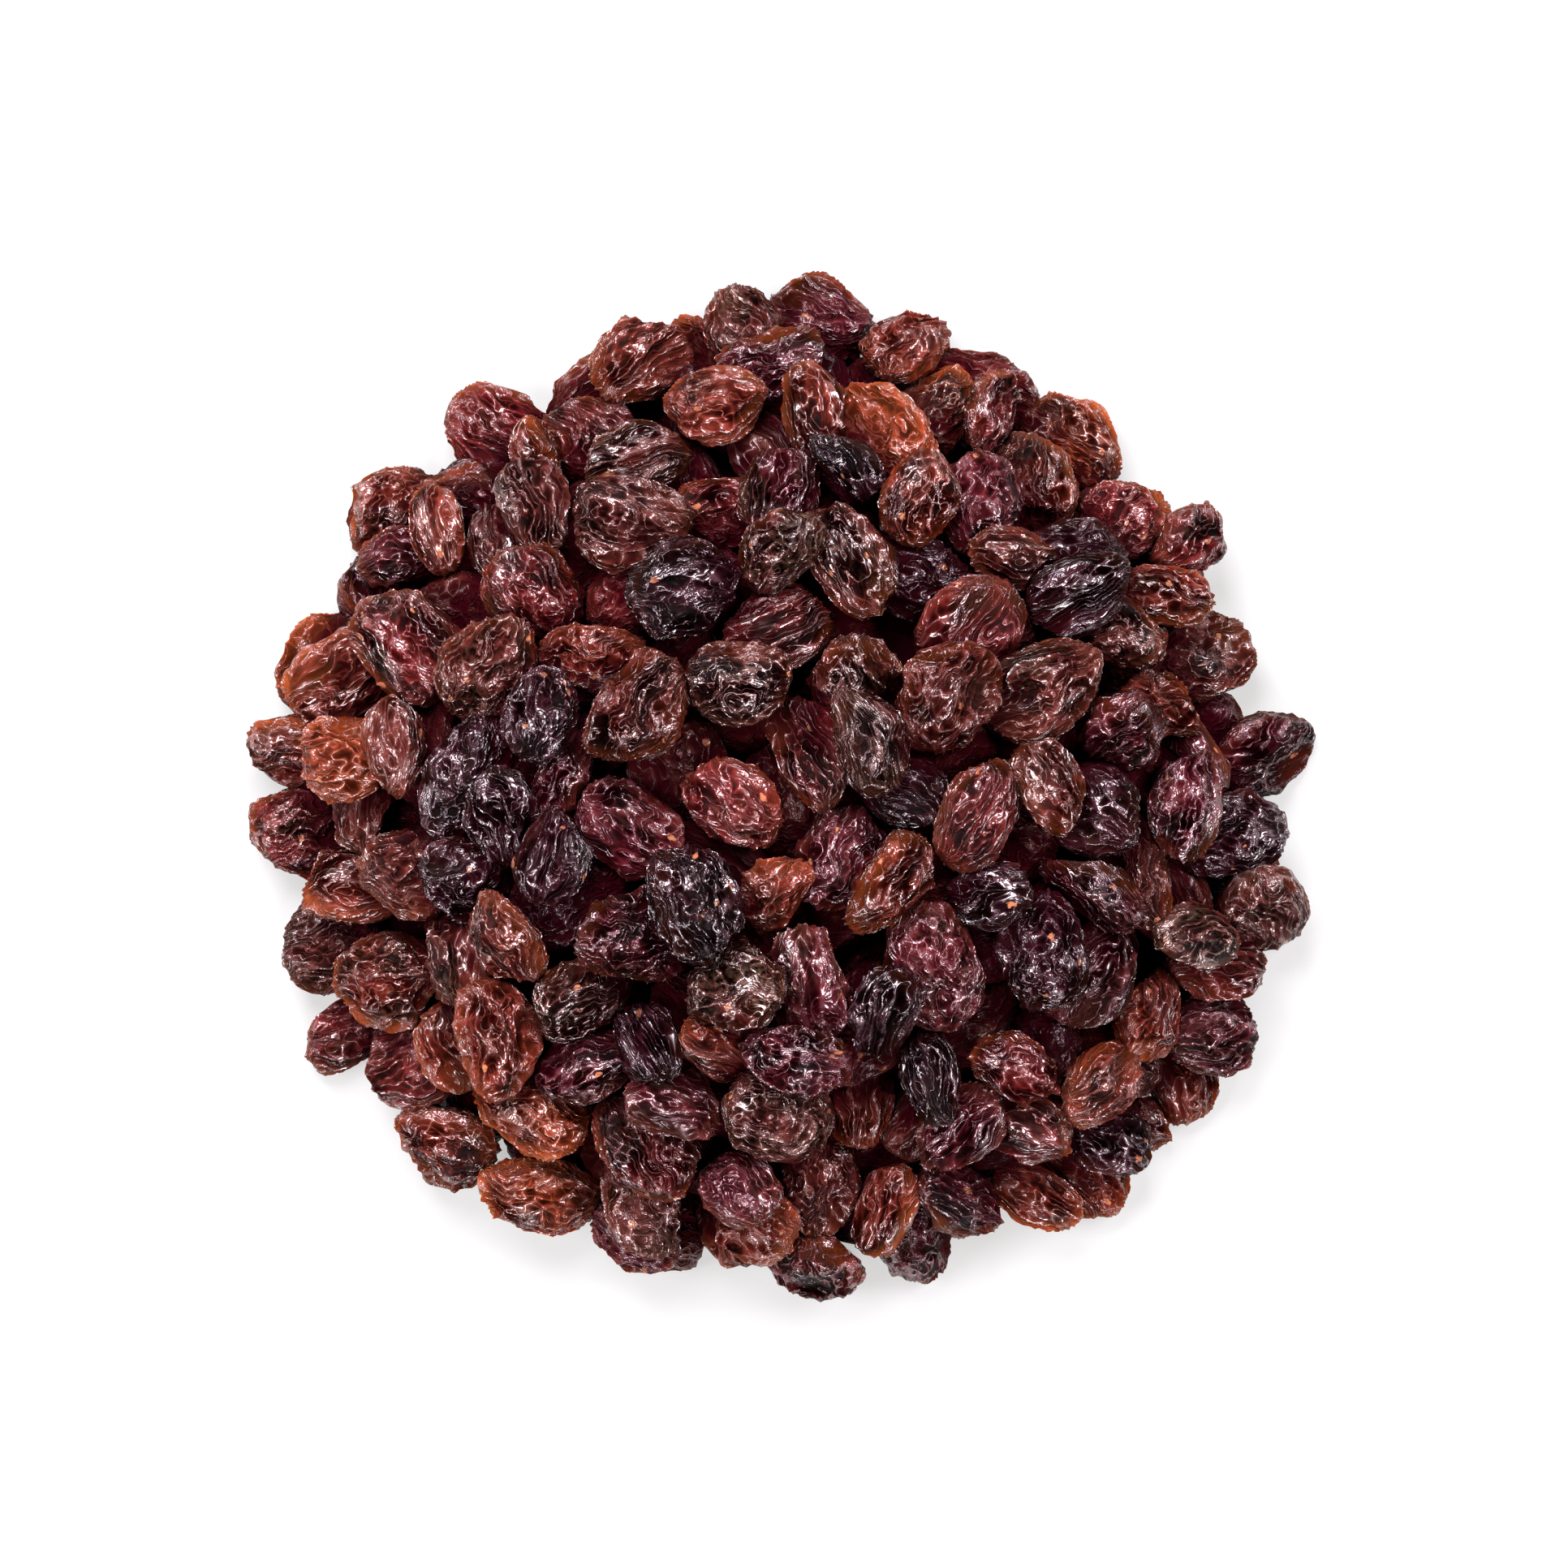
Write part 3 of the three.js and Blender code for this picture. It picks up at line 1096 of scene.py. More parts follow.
    def crinkled(
        self, name: str, points: bpy.types.Mesh, forms: FormDrawer, skin: bpy.types.Material
    ) -> bpy.types.Object:
        """Runs the tree on points.

        Args:
            name: The finished piece's name.
            points: A mesh of loose points with the attributes that the tree reads.
            forms: The forms to set down.
            skin: The finish.

        Returns:
            A plain mesh object at the origin, linked to the scene.
        """
        source = bpy.data.objects.new(name, points)
        bpy.context.scene.collection.objects.link(source)
        modifier = source.modifiers.new("crinkle", "NODES")
        modifier.node_group = self.tree
        values = {"Forms": forms.collection, "Skin": skin, **self.SIZES}
        for item in self.tree.interface.items_tree:
            if item.in_out == "INPUT" and item.name in values:
                modifier[item.identifier] = values[item.name]
        reading = bpy.context.evaluated_depsgraph_get()
        mesh = bpy.data.meshes.new_from_object(
            source.evaluated_get(reading), preserve_all_data_layers=True, depsgraph=reading
        )
        source.modifiers.remove(modifier)
        source.data = mesh
        mesh.name = name
        bpy.data.meshes.remove(points)
        return source


class SkinWiring(Wiring):
    """The wiring of a skin's shader, which also reads what the mesh stores."""

    def stored(self, name: str, output: str = "Fac") -> bpy.types.NodeSocket:
        """An attribute of the mesh, as a number, or as a place from the output Vector."""
        return self.add("ShaderNodeAttribute", attribute_name=name).outputs[output]

    def mixed(self, share: Any, one: Any, other: Any) -> bpy.types.NodeSocket:
        """Mixes two colours.

        Args:
            share: How much of the other colour is taken, from 0 to 1.
            one: The first colour.
            other: The other colour.

        Returns:
            The colour between them.
        """
        node = self.add("ShaderNodeMix", data_type="RGBA")
        self.put(node.inputs["Factor"], share)
        self.put(node.inputs[6], one)
        self.put(node.inputs[7], other)
        return node.outputs[2]


@dataclass(frozen=True)
class Finish:
    """The skin of one kind of sultana. Colours are linear.

    Attributes:
        deep: Colour of the thick, dark parts.
        flesh: Colour of the lighter parts.
        crest: Colour of the ridges, partly their paler dry skin and partly a painted highlight.
        crest_share: How much of that colour the ridges take.
        relief: How much darker the hollows are painted than the ridges, as painted shade.
        dust: How far the dry bloom covers the ridges.
        rough: Least and most roughness where the skin is sticky.
        glow: How much light goes through the pulp.
        glow_depth: How deep it goes, in millimetres.
    """

    deep: Shade
    flesh: Shade
    crest: Shade
    crest_share: float = 0.5
    relief: float = 1.2
    dust: float = 0.25
    rough: tuple[float, float] = (0.1, 0.26)
    glow: float = 0.2
    glow_depth: float = 1.2

    # Colours that all kinds share
    DUST = (0.22, 0.125, 0.08, 1.0)
    # painted glow of the light that comes through the edges of a grape
    AMBER = (0.235, 0.046, 0.011, 1.0)
    SPECK = (0.26, 0.092, 0.047, 1.0)
    # painted shade deep in the gaps between the grapes
    GAP_SHADE_COLOUR = (0.013, 0.0005, 0.0017, 1.0)
    GLOW_COLOUR = (1.0, 0.22, 0.06)
    SHINE = (1.0, 1.0, 1.0, 1.0)
    # painted shade on the reflections in the hollows
    HOLLOW_SHADED_SHINE = (0.04, 0.005, 0.01, 1.0)

    # Sizes and spacings, in millimetres
    WANDER = 1.7  # how far the fine wrinkles stray
    WANDER_SIZE = 0.9
    FINE_RIDGE = 1.0
    FINE_BREAK = 1.7
    HAIRLINE = 0.47
    HAIR_PATCH = 2.6
    TANGLE = 1.45
    FINE_DEPTH = 0.5
    BLOT = 4.0
    DUST_PATCH = 4.5
    DUST_GRAIN = 0.5
    DAMP_PATCH = 3.0
    SMOOTH_PATCH = 5.0
    SPECK_APART = 3.6
    SPECK_EDGE = (0.24, 0.42)
    SPECK_UNEVEN = 0.7
    GAP_SHADE_DEPTH = (-1.0, 3.7)  # depth below the heap's upper side at which the painted shade of a gap begins and is darkest

    # Widths of ridges, as shares of their spacing
    FINE_WIDTH = 0.26
    HAIR_WIDTH = 0.4

    # What each kind of ridge adds to the crest
    FINE_SHARE = 0.62
    WRINKLE_SHARE = 0.2
    HAIR_SHARE = 0.3
    FOLD_SHARE = 0.2

    # Heights of the crest between which the painted shade of the crease lifts, the ridge takes its paler
    # colour with a painted highlight, and the shine comes up
    CREASE_SHADE = (0.1, 0.5)
    PALE_AND_HIGHLIGHT = (0.36, 0.86)
    GLANCE = (0.29, 0.7)

    # Shares of what lies over the skin, of the painted glow and the painted shade, and what they do to the
    # shine
    BLOT_SHARE = 3.0
    PAINTED_GLOW_SHARE = 2.5
    SPECK_SHARE = 0.8
    GAP_SHADE_SHARE = 0.9
    # painted shade on the reflections deep in the gaps
    GAP_DULLING = 0.82
    HAIR_BUMP = 0.6
    GLANCE_SHARE = 1.75
    SMOOTH_SHINE = 0.12
    LEAST_SHINE = 0.02
    DULL = 0.4
    IOR = 1.58

    def material(self, name: str) -> bpy.types.Material:
        """Builds the finish's material.

        Args:
            name: The material's name.

        Returns:
            The material, which reads the fields that the crinkle tree stores on the mesh.
        """
        material = bpy.data.materials.new(name)
        material.use_nodes = True
        material.node_tree.nodes.clear()
        wiring = SkinWiring(material.node_tree)
        place = wiring.stored("skin_co", "Vector")
        run = wiring.stored("run")
        wander = wiring.math("SUBTRACT", wiring.noise(place, self.WANDER_SIZE, 1.0), 0.5)
        loose = wiring.math("ADD", run, wiring.math("MULTIPLY", wander, self.WANDER))
        fine = self.fine_ridges(wiring, place, loose)
        hairs = self.hairlines(wiring, place, loose)
        crest = self.crests(wiring, run, fine, hairs)
        dust = self.dusted(wiring, place, crest)
        shine = self.shine(wiring, place, crest)
        skin = wiring.add("ShaderNodeBsdfPrincipled")
        wiring.put(skin.inputs["Base Color"], self.colour(wiring, place, crest, dust))
        wiring.put(skin.inputs["Roughness"], self.roughness(wiring, place, crest, dust, shine))
        wiring.put(skin.inputs["Normal"], self.bumps(wiring, fine, hairs))
        # painted shade on the reflections: the shine and its tint drop in the hollows and gaps
        wiring.put(skin.inputs["Specular IOR Level"], wiring.math("ADD", shine, self.LEAST_SHINE))
        wiring.put(skin.inputs["Specular Tint"], wiring.mixed(shine, self.HOLLOW_SHADED_SHINE, self.SHINE))
        skin.inputs["IOR"].default_value = self.IOR
        skin.inputs["Subsurface Weight"].default_value = self.glow
        skin.inputs["Subsurface Radius"].default_value = self.GLOW_COLOUR
        skin.inputs["Subsurface Scale"].default_value = self.glow_depth * MM
        output = wiring.add("ShaderNodeOutputMaterial")
        wiring.put(output.inputs["Surface"], skin.outputs[0])
        return material

    def fine_ridges(self, wiring: SkinWiring, place: Any, run: Any) -> bpy.types.NodeSocket:
        """Wrinkles too narrow to mesh: side by side where the skin swells, and tangled elsewhere.

        Args:
            wiring: The shader's wiring.
            place: Place on the skin.
            run: The field that they follow.

        Returns:
            1 on the crests, down to near 0 in the creases.
        """
        swell = wiring.stored("swell")
        broken = wiring.ramp(wiring.noise(place, self.FINE_BREAK), 0.27, 0.47)
        kept = wiring.math("MULTIPLY", wiring.sloped(swell, 0.65, 0.35), broken)
        lined = wiring.math("MULTIPLY", wiring.streams(run, self.FINE_RIDGE, self.FINE_WIDTH), kept)
        tangled = wiring.ridges(place, self.TANGLE, 0.08, 0.6)
        tangled = wiring.math("MULTIPLY", tangled, wiring.sloped(swell, -0.5, 0.8))
        return wiring.math("MAXIMUM", lined, tangled)

    def hairlines(self, wiring: SkinWiring, place: Any, run: Any) -> bpy.types.NodeSocket:
        """The finest lines, in patches between the wrinkles.

        Args:
            wiring: The shader's wiring.
            place: Place on the skin.
            run: The field that they follow.

        Returns:
            1 on the lines, and 0 between the patches.
        """
        patch = wiring.ramp(wiring.noise(place, self.HAIR_PATCH), 0.38, 0.55)
        return wiring.math("MULTIPLY", wiring.streams(run, self.HAIRLINE, self.HAIR_WIDTH), patch)

    def crests(self, wiring: SkinWiring, run: Any, fine: Any, hairs: Any) -> bpy.types.NodeSocket:
        """Adds up every kind of ridge.

        Args:
            wiring: The shader's wiring.
            run: The field that the wrinkles follow.
            fine: The fine wrinkles.
            hairs: The hairlines.

        Returns:
            From 0 in the creases to 1 on the highest crests.
        """
        crest = wiring.math("MULTIPLY", fine, self.FINE_SHARE)
        wrinkle = wiring.streams(run, CrinkleTree.SIZES["Wrinkle spacing"])
        crest = wiring.math("ADD", crest, wiring.math("MULTIPLY", wrinkle, self.WRINKLE_SHARE))
        crest = wiring.math("ADD", crest, wiring.math("MULTIPLY", hairs, self.HAIR_SHARE))
        fold = wiring.math("MULTIPLY", wiring.stored("crest"), self.FOLD_SHARE)
        return wiring.math("ADD", crest, fold, clamp=True)

    def dusted(self, wiring: SkinWiring, place: Any, crest: Any) -> bpy.types.NodeSocket:
        """Where the bloom lies: in patches, on the ridges, in fine grains.

        Args:
            wiring: The shader's wiring.
            place: Place on the skin.
            crest: Height of the ridges.

        Returns:
            Share of the skin's colour that the bloom takes.
        """
        patch = wiring.math("SUBTRACT", wiring.noise(place, self.DUST_PATCH, 2.0), 0.4)
        patch = wiring.math("MULTIPLY", patch, 4.0, clamp=True)
        grain = wiring.math("SUBTRACT", wiring.noise(place, self.DUST_GRAIN, 3.0), 0.42)
        grain = wiring.math("MULTIPLY", grain, 5.0, clamp=True)
        share = wiring.math("MULTIPLY", wiring.math("MULTIPLY", patch, grain), crest)
        return wiring.math("MULTIPLY", share, wiring.math("MULTIPLY", wiring.stored("bloom"), self.dust))

    def colour(self, wiring: SkinWiring, place: Any, crest: Any, dust: Any) -> bpy.types.NodeSocket:
        """Deep to light in soft blots, with painted shade in the hollows and creases, an amber painted glow
        at the edges, ridges paler with a painted highlight, bloom, specks and dark painted shade in the
        gaps over it.

        Args:
            wiring: The shader's wiring.
            place: Place on the skin.
            crest: Height of the ridges.
            dust: Share of the bloom.

        Returns:
            The skin's colour.
        """
        blots = wiring.math("SUBTRACT", wiring.noise(place, self.BLOT, 2.0), 0.5)
        share = wiring.math("ADD", wiring.stored("tone"), wiring.math("MULTIPLY", blots, self.BLOT_SHARE))
        # painted shade: the hollows lean to the deep colour and the ridges to the flesh colour
        raised = wiring.math("MULTIPLY", wiring.math("SUBTRACT", crest, 0.35), self.relief)
        share = wiring.math("ADD", share, raised, clamp=True)
        base = wiring.mixed(share, (*self.deep, 1.0), (*self.flesh, 1.0))
        # painted shade: the skin darkens deep in the creases
        base = wiring.scaled(base, wiring.sloped(wiring.ramp(crest, *self.CREASE_SHADE), 0.94, 0.06))
        # painted glow: amber where light comes through a grape's edge, most at the heap's rim
        painted_glow = wiring.math("MULTIPLY", wiring.stored("painted_glow"), self.glow * self.PAINTED_GLOW_SHARE, clamp=True)
        base = wiring.mixed(painted_glow, base, self.AMBER)
        # the ridges take their paler colour, partly as dry skin and partly as a painted highlight
        pale_and_highlight = wiring.math("MULTIPLY", wiring.ramp(crest, *self.PALE_AND_HIGHLIGHT), self.crest_share)
        base = wiring.mixed(pale_and_highlight, base, (*self.crest, 1.0))
        base = wiring.mixed(dust, base, self.DUST)
        speck = wiring.math("MULTIPLY", self.specked(wiring, place), self.SPECK_SHARE)
        base = wiring.mixed(speck, base, self.SPECK)
        # painted shade: deep in the gaps the skin turns near-black red
        sunk = wiring.math("MULTIPLY", self.gap(wiring), self.GAP_SHADE_SHARE)
        return wiring.mixed(sunk, base, self.GAP_SHADE_COLOUR)

    def specked(self, wiring: SkinWiring, place: Any) -> bpy.types.NodeSocket:
        """Small corky specks with an uneven outline, about one or two on a grape.

        Args:
            wiring: The shader's wiring.
            place: Place on the skin.

        Returns:
            1 in a speck and 0 outside.
        """
        node = wiring.add("ShaderNodeTexVoronoi")
        wiring.put(node.inputs["Vector"], place)
        node.inputs["Scale"].default_value = 1 / self.SPECK_APART
        away = wiring.math("MULTIPLY", node.outputs["Distance"], self.SPECK_APART)
        uneven = wiring.math("SUBTRACT", wiring.noise(place, 0.4, 1.0), 0.5)
        away = wiring.math("ADD", away, wiring.math("MULTIPLY", uneven, self.SPECK_UNEVEN))
        return wiring.math("SUBTRACT", 1.0, wiring.ramp(away, *self.SPECK_EDGE))

    def gap(self, wiring: SkinWiring) -> bpy.types.NodeSocket:
        """How much painted shade a place gets, from 0 on the heap's upper side to 1 deep in a gap."""
        return wiring.ramp(wiring.stored("sunk"), *self.GAP_SHADE_DEPTH)

    def roughness(
        self, wiring: SkinWiring, place: Any, crest: Any, dust: Any, shine: Any
    ) -> bpy.types.NodeSocket:
        """Sticky on the ridges and in some hollows, and dull under the bloom and where nothing glances off.

        Args:
            wiring: The shader's wiring.
            place: Place on the skin.
            crest: Height of the ridges.
            dust: Share of the bloom.
            shine: How much light glances off.

        Returns:
            The roughness.
        """
        node = wiring.add("ShaderNodeMapRange")
        damp = wiring.math("MULTIPLY", crest, 0.4)
        damp = wiring.math("SUBTRACT", wiring.noise(place, self.DAMP_PATCH, 1.0), damp)
        wiring.put(node.inputs["Value"], damp)
        node.inputs["From Min"].default_value = 0.1
        node.inputs["From Max"].default_value = 0.6
        node.inputs["To Min"].default_value = self.rough[0]
        node.inputs["To Max"].default_value = self.rough[1]
        dusty = wiring.math("MULTIPLY", dust, self.DULL)
        dull = wiring.math("SUBTRACT", 1.0, wiring.ramp(shine, 0.0, 0.3))
        dull = wiring.math("MULTIPLY", dull, self.DULL)
        return wiring.math("ADD", wiring.math("ADD", node.outputs[0], dusty), dull)

    def shine(self, wiring: SkinWiring, place: Any, crest: Any) -> bpy.types.NodeSocket:
        """How much light glances off, with less in the hollows and gaps as painted shade on the
        reflections, since these see only skin.

        Args:
            wiring: The shader's wiring.
            place: Place on the skin.
            crest: Height of the ridges.

        Returns:
            From 0 in a crease to 1 on a ridge.
        """
        smooth = wiring.ramp(wiring.noise(place, self.SMOOTH_PATCH), 0.5, 0.66)
        share = wiring.math("MULTIPLY", wiring.ramp(crest, *self.GLANCE), self.GLANCE_SHARE)
        share = wiring.math("ADD", share, wiring.math("MULTIPLY", smooth, self.SMOOTH_SHINE), clamp=True)
        return wiring.math("MULTIPLY", share, wiring.sloped(self.gap(wiring), -self.GAP_DULLING, 1.0))

    def bumps(self, wiring: SkinWiring, fine: Any, hairs: Any) -> bpy.types.NodeSocket:
        """The wrinkles and hairlines, as they tilt the light.

        Args:
            wiring: The shader's wiring.
            fine: The fine wrinkles.
            hairs: The hairlines.

        Returns:
            The skin's normal.
        """
        node = wiring.add("ShaderNodeBump")
        height = wiring.math("ADD", fine, wiring.math("MULTIPLY", hairs, self.HAIR_BUMP))
        wiring.put(node.inputs["Height"], height)
        node.inputs["Distance"].default_value = self.FINE_DEPTH * MM
        return node.outputs[0]


RIM_BEGINS = 0.72  # how far out the kinds start to change, as a share of the mound's ring
RIM_WIDTH = 0.2


class Kind(Enum):
    """The kinds of sultana in the heap, from the darkest to the lightest."""

    BLACK = "sultanas_black"
    PLUM = "sultanas_plum"
    BROWN = "sultanas_brown"
    MAHOGANY = "sultanas_mahogany"
    RUSSET = "sultanas_russet"
    AMBER = "sultanas_amber"
    DUSTY = "sultanas_dusty"

    @property
    def finish(self) -> Finish:
        """The kind's skin."""
        return FINISHES[self]

    @classmethod
    def drawn(cls, draws: Draws, out: float) -> "Kind":
        """Draws a kind: the reddest lie where light comes through at the rim.

        Args:
            draws: Where the draw comes from.
            out: How far out the grape lies.

        Returns:
            The kind.
        """
        rim = max(0.0, min(1.0, (out - RIM_BEGINS) / RIM_WIDTH))
        shares = {
            cls.BLACK: 0.19 - 0.13 * rim,
            cls.PLUM: 0.22 - 0.06 * rim,
            cls.BROWN: 0.19 - 0.03 * rim,
            cls.MAHOGANY: 0.17 + 0.03 * rim,
            cls.RUSSET: 0.11 + 0.11 * rim,
            cls.AMBER: 0.02 + 0.16 * rim,
            cls.DUSTY: 0.1 - 0.04 * rim,
        }
        left = draws.next() * sum(shares.values())
        for kind, share in shares.items():
            left -= share
            if left <= 0:
                return kind
        return cls.PLUM


FINISHES = {
    Kind.BLACK: Finish(
        (0.002, 0.0002, 0.0006), (0.019, 0.0030, 0.0056), (0.068, 0.030, 0.044), dust=0.1, glow=0.05
    ),
    Kind.PLUM: Finish(
        (0.004, 0.0002, 0.0006), (0.056, 0.0057, 0.0088), (0.122, 0.044, 0.058), glow=0.15
    ),
    Kind.BROWN: Finish(
        (0.005, 0.0003, 0.0005), (0.067, 0.0108, 0.0084), (0.140, 0.060, 0.053), relief=1.0, glow=0.2
    ),
    Kind.MAHOGANY: Finish(
        (0.008, 0.0003, 0.0006), (0.089, 0.0086, 0.0085), (0.154, 0.051, 0.054), relief=0.8, glow=0.26
    ),
    Kind.RUSSET: Finish(
        (0.013, 0.0005, 0.0004), (0.104, 0.0136, 0.0080), (0.166, 0.061, 0.053), relief=0.7, glow=0.34
    ),
    Kind.AMBER: Finish(
        (0.020, 0.0011, 0.0004), (0.142, 0.0215, 0.0076), (0.212, 0.080, 0.058), relief=0.6, glow=0.5,
        glow_depth=2.5,
    ),
    Kind.DUSTY: Finish(
        (0.005, 0.0004, 0.0006), (0.059, 0.0114, 0.0098), (0.134, 0.066, 0.059), dust=0.45, glow=0.1
    ),
}


@dataclass(frozen=True)
class Skins:
    """How one sultana's skin differs from the next one's.

    Attributes:
        plump: How much larger the forms are than the model's eggs, which makes up for their hollows.
        seed: What the draws start from.
        spread: How far apart in the noise two skins can lie, in millimetres.
        tone: Least and most lightness.
        bloom: Least and most of the dry bloom.
        crinkle: Least and most depth of the folds, as a share of the usual one.
        grain: Least and most scale of the pattern along a grape, which draws it out lengthwise.
        combed: Least and most by which the wrinkles run lengthwise.
    """

    plump: float = 1.06
    seed: int = 5501
    spread: float = 90.0
    tone: tuple[float, float] = (0.1, 0.7)
    bloom: tuple[float, float] = (0.1, 1.0)
    crinkle: tuple[float, float] = (0.7, 1.25)
    grain: tuple[float, float] = (0.45, 0.9)
    combed: tuple[float, float] = (0.35, 1.15)

    def dress(self, grapes: list[Grape], forms: FormDrawer) -> dict[Kind, bpy.types.Mesh]:
        """Draws a kind, a form and a skin for every grape.

        Args:
            grapes: The heap.
            forms: The forms to choose from.

        Returns:
            The points of each kind, with the attributes that the crinkle tree reads.
        """
        draws = Draws(self.seed)
        rows: dict[Kind, list[dict[str, Any]]] = {kind: [] for kind in Kind}
        for grape in grapes:
            kind = Kind.drawn(draws, grape.out)
            number = int(draws.next() * forms.count)
            half_turn = math.pi if draws.next() < 0.5 else 0.0
            rows[kind].append(
                {
                    "place": (grape.x * MM, grape.y * MM, grape.z * MM),
                    "turn": self.angles(grape, half_turn),
                    "half": tuple(h * self.plump * MM for h in grape.half),
                    "form": forms.index(Detail.of(grape), number),
                    "seat": tuple(draws.between(0, self.spread) for _ in range(3)),
                    "grain": (draws.between(*self.grain), 1.0, 1.0),
                    "tone": draws.between(*self.tone),
                    "bloom": draws.between(*self.bloom),
                    "crinkle": draws.between(*self.crinkle),
                    "combed": draws.between(*self.combed),
                }
            )
        return {kind: self.points(kind, rows[kind]) for kind in Kind}

    def angles(self, grape: Grape, half_turn: float) -> tuple[float, float, float]:
        """Turns a grape's angles into Blender's XYZ turn.

        Args:
            grape: The grape.
            half_turn: Half a turn to swap its ends, or 0.

        Returns:
            The three angles.
        """
        if half_turn:
            return -grape.roll, -grape.pitch, grape.yaw + half_turn
        return grape.roll, grape.pitch, grape.yaw

    def points(self, kind: Kind, rows: list[dict[str, Any]]) -> bpy.types.Mesh:
        """Makes the grapes of one kind into loose points.

        Args:
            kind: The kind.
            rows: What is drawn for each grape.

        Returns:
            The points, with the attributes that the crinkle tree reads.
        """
        mesh = mesh_of(kind.value, np.array([row["place"] for row in rows]), np.empty((0, 4), int))
        for name in ("turn", "half", "seat", "grain"):
            store(mesh, name, "FLOAT_VECTOR", np.array([row[name] for row in rows]))
        for name in ("tone", "bloom", "crinkle", "combed"):
            store(mesh, name, "FLOAT", np.array([row[name] for row in rows]))
        store(mesh, "form", "INT", np.array([row["form"] for row in rows]))
        return mesh


@dataclass(frozen=True)
class Core:
    """The dark inside of the heap, where no single sultana can be told apart, near-black as painted shade,
    in millimetres.

    Attributes:
        depth: How far it lies below where the sultanas' middles may be.
        reach: How far out it goes, as a share of the mound's ring.
        clear: Height of its underside.
        rings: Rings on its upper side, and as many below.
        sides: Points in a ring.
        lump: Size of its lumps.
        lump_depth: How high they are.
        lump_turns: How fast they follow each other along x and y.
        lump_starts: Where they start along x and y.
    """

    depth: float = 13.0
    reach: float = 0.92
    clear: float = 1.2
    rings: int = 16
    sides: int = 72
    lump: float = 8.0
    lump_depth: float = 2.6
    lump_turns: tuple[float, float] = (2.1, 2.3)
    lump_starts: tuple[float, float] = (1.3, 0.4)

    # painted shade: the near-black that stands for the shade deep in the heap's gaps
    COLOUR = (0.007, 0.0006, 0.0015, 1.0)

    def build(self, mound: Mound) -> bpy.types.Object:
        """Makes the core.

        Args:
            mound: What the heap fills.

        Returns:
            The core as a closed mesh at the origin.
        """
        points = [(0.0, 0.0, mound.top(0) - self.depth)]
        for ring in range(1, self.rings + 1):
            out = self.reach * ring / self.rings
            points += self.circle(mound, out, max(self.clear + 1, mound.top(out) - self.depth))
        for ring in range(self.rings, 0, -1):
            points += self.circle(mound, self.reach * ring / self.rings, self.clear)
        points.append((0.0, 0.0, self.clear))
        mesh = bpy.data.meshes.new("heap_core")
        mesh.from_pydata([tuple(v * MM for v in p) for p in points], [], self.faces())
        mesh.update()
        core = bpy.data.objects.new("heap_core", mesh)
        bpy.context.scene.collection.objects.link(core)
        return core

    @staticmethod
    def skin() -> bpy.types.Material:
        """Makes the dull near-black red that paints the shade of the deepest gaps.

        Returns:
            The material.
        """
        material = bpy.data.materials.new("heap_core_skin")
        material.use_nodes = True
        surface = material.node_tree.nodes["Principled BSDF"]
        surface.inputs["Base Color"].default_value = Core.COLOUR
        surface.inputs["Roughness"].default_value = 0.8
        surface.inputs["Specular IOR Level"].default_value = 0.0
        return material

    def circle(self, mound: Mound, out: float, height: float) -> list[tuple[float, ...]]:
        """Makes the points of one ring.

        Args:
            mound: What the heap fills.
            out: How far out the ring lies.
            height: How high it lies, before its lumps.

        Returns:
            The points.
        """
        found = []
        for side in range(self.sides):
            angle = 2 * math.pi * side / self.sides
            radius = out * mound.ring(angle)
            x, y = radius * math.cos(angle), radius * math.sin(angle)
            waves = (
                math.sin(place / self.lump * turns + start)
                for place, turns, start in zip((x, y), self.lump_turns, self.lump_starts)
            )
            lift = self.lump_depth * math.prod(waves) if height > self.clear else 0.0
            found.append((x, y, max(self.clear, height + lift)))
        return found

    def faces(self) -> list[tuple[int, ...]]:
        """Joins the rings, with a fan at either pole.

        Returns:
            The corners of each face.
        """
        rings = 2 * self.rings
        start = [1 + self.sides * ring for ring in range(rings)]
        last = 1 + self.sides * rings
        found: list[tuple[int, ...]] = []
        for side in range(self.sides):
            after = (side + 1) % self.sides
            found.append((0, start[0] + side, start[0] + after))
            for ring in range(rings - 1):
                one, other = start[ring], start[ring + 1]
                found.append((one + after, one + side, other + side, other + after))
            found.append((start[-1] + after, start[-1] + side, last))
        return found


@dataclass(frozen=True)
class Softbox:
    """A square soft light that faces the heap.

    Attributes:
        name: The light's name.
        place: Where it hangs, in metres.
        size: Its side, in metres.
        watts: How strong it is.
    """

    name: str
    place: tuple[float, float, float]
    size: float
    watts: float

    COLOUR = (1.0, 0.95, 1.0)

    def hang(self) -> None:
        """Adds the light to the scene."""
        data = bpy.data.lights.new(self.name, "AREA")
        data.size = self.size
        data.energy = self.watts
        data.color = self.COLOUR
        light = bpy.data.objects.new(self.name, data)
        light.location = self.place
        light.rotation_mode = "QUATERNION"
        light.rotation_quaternion = (-Vector(self.place)).to_track_quat("-Z", "Y")
        bpy.context.scene.collection.objects.link(light)


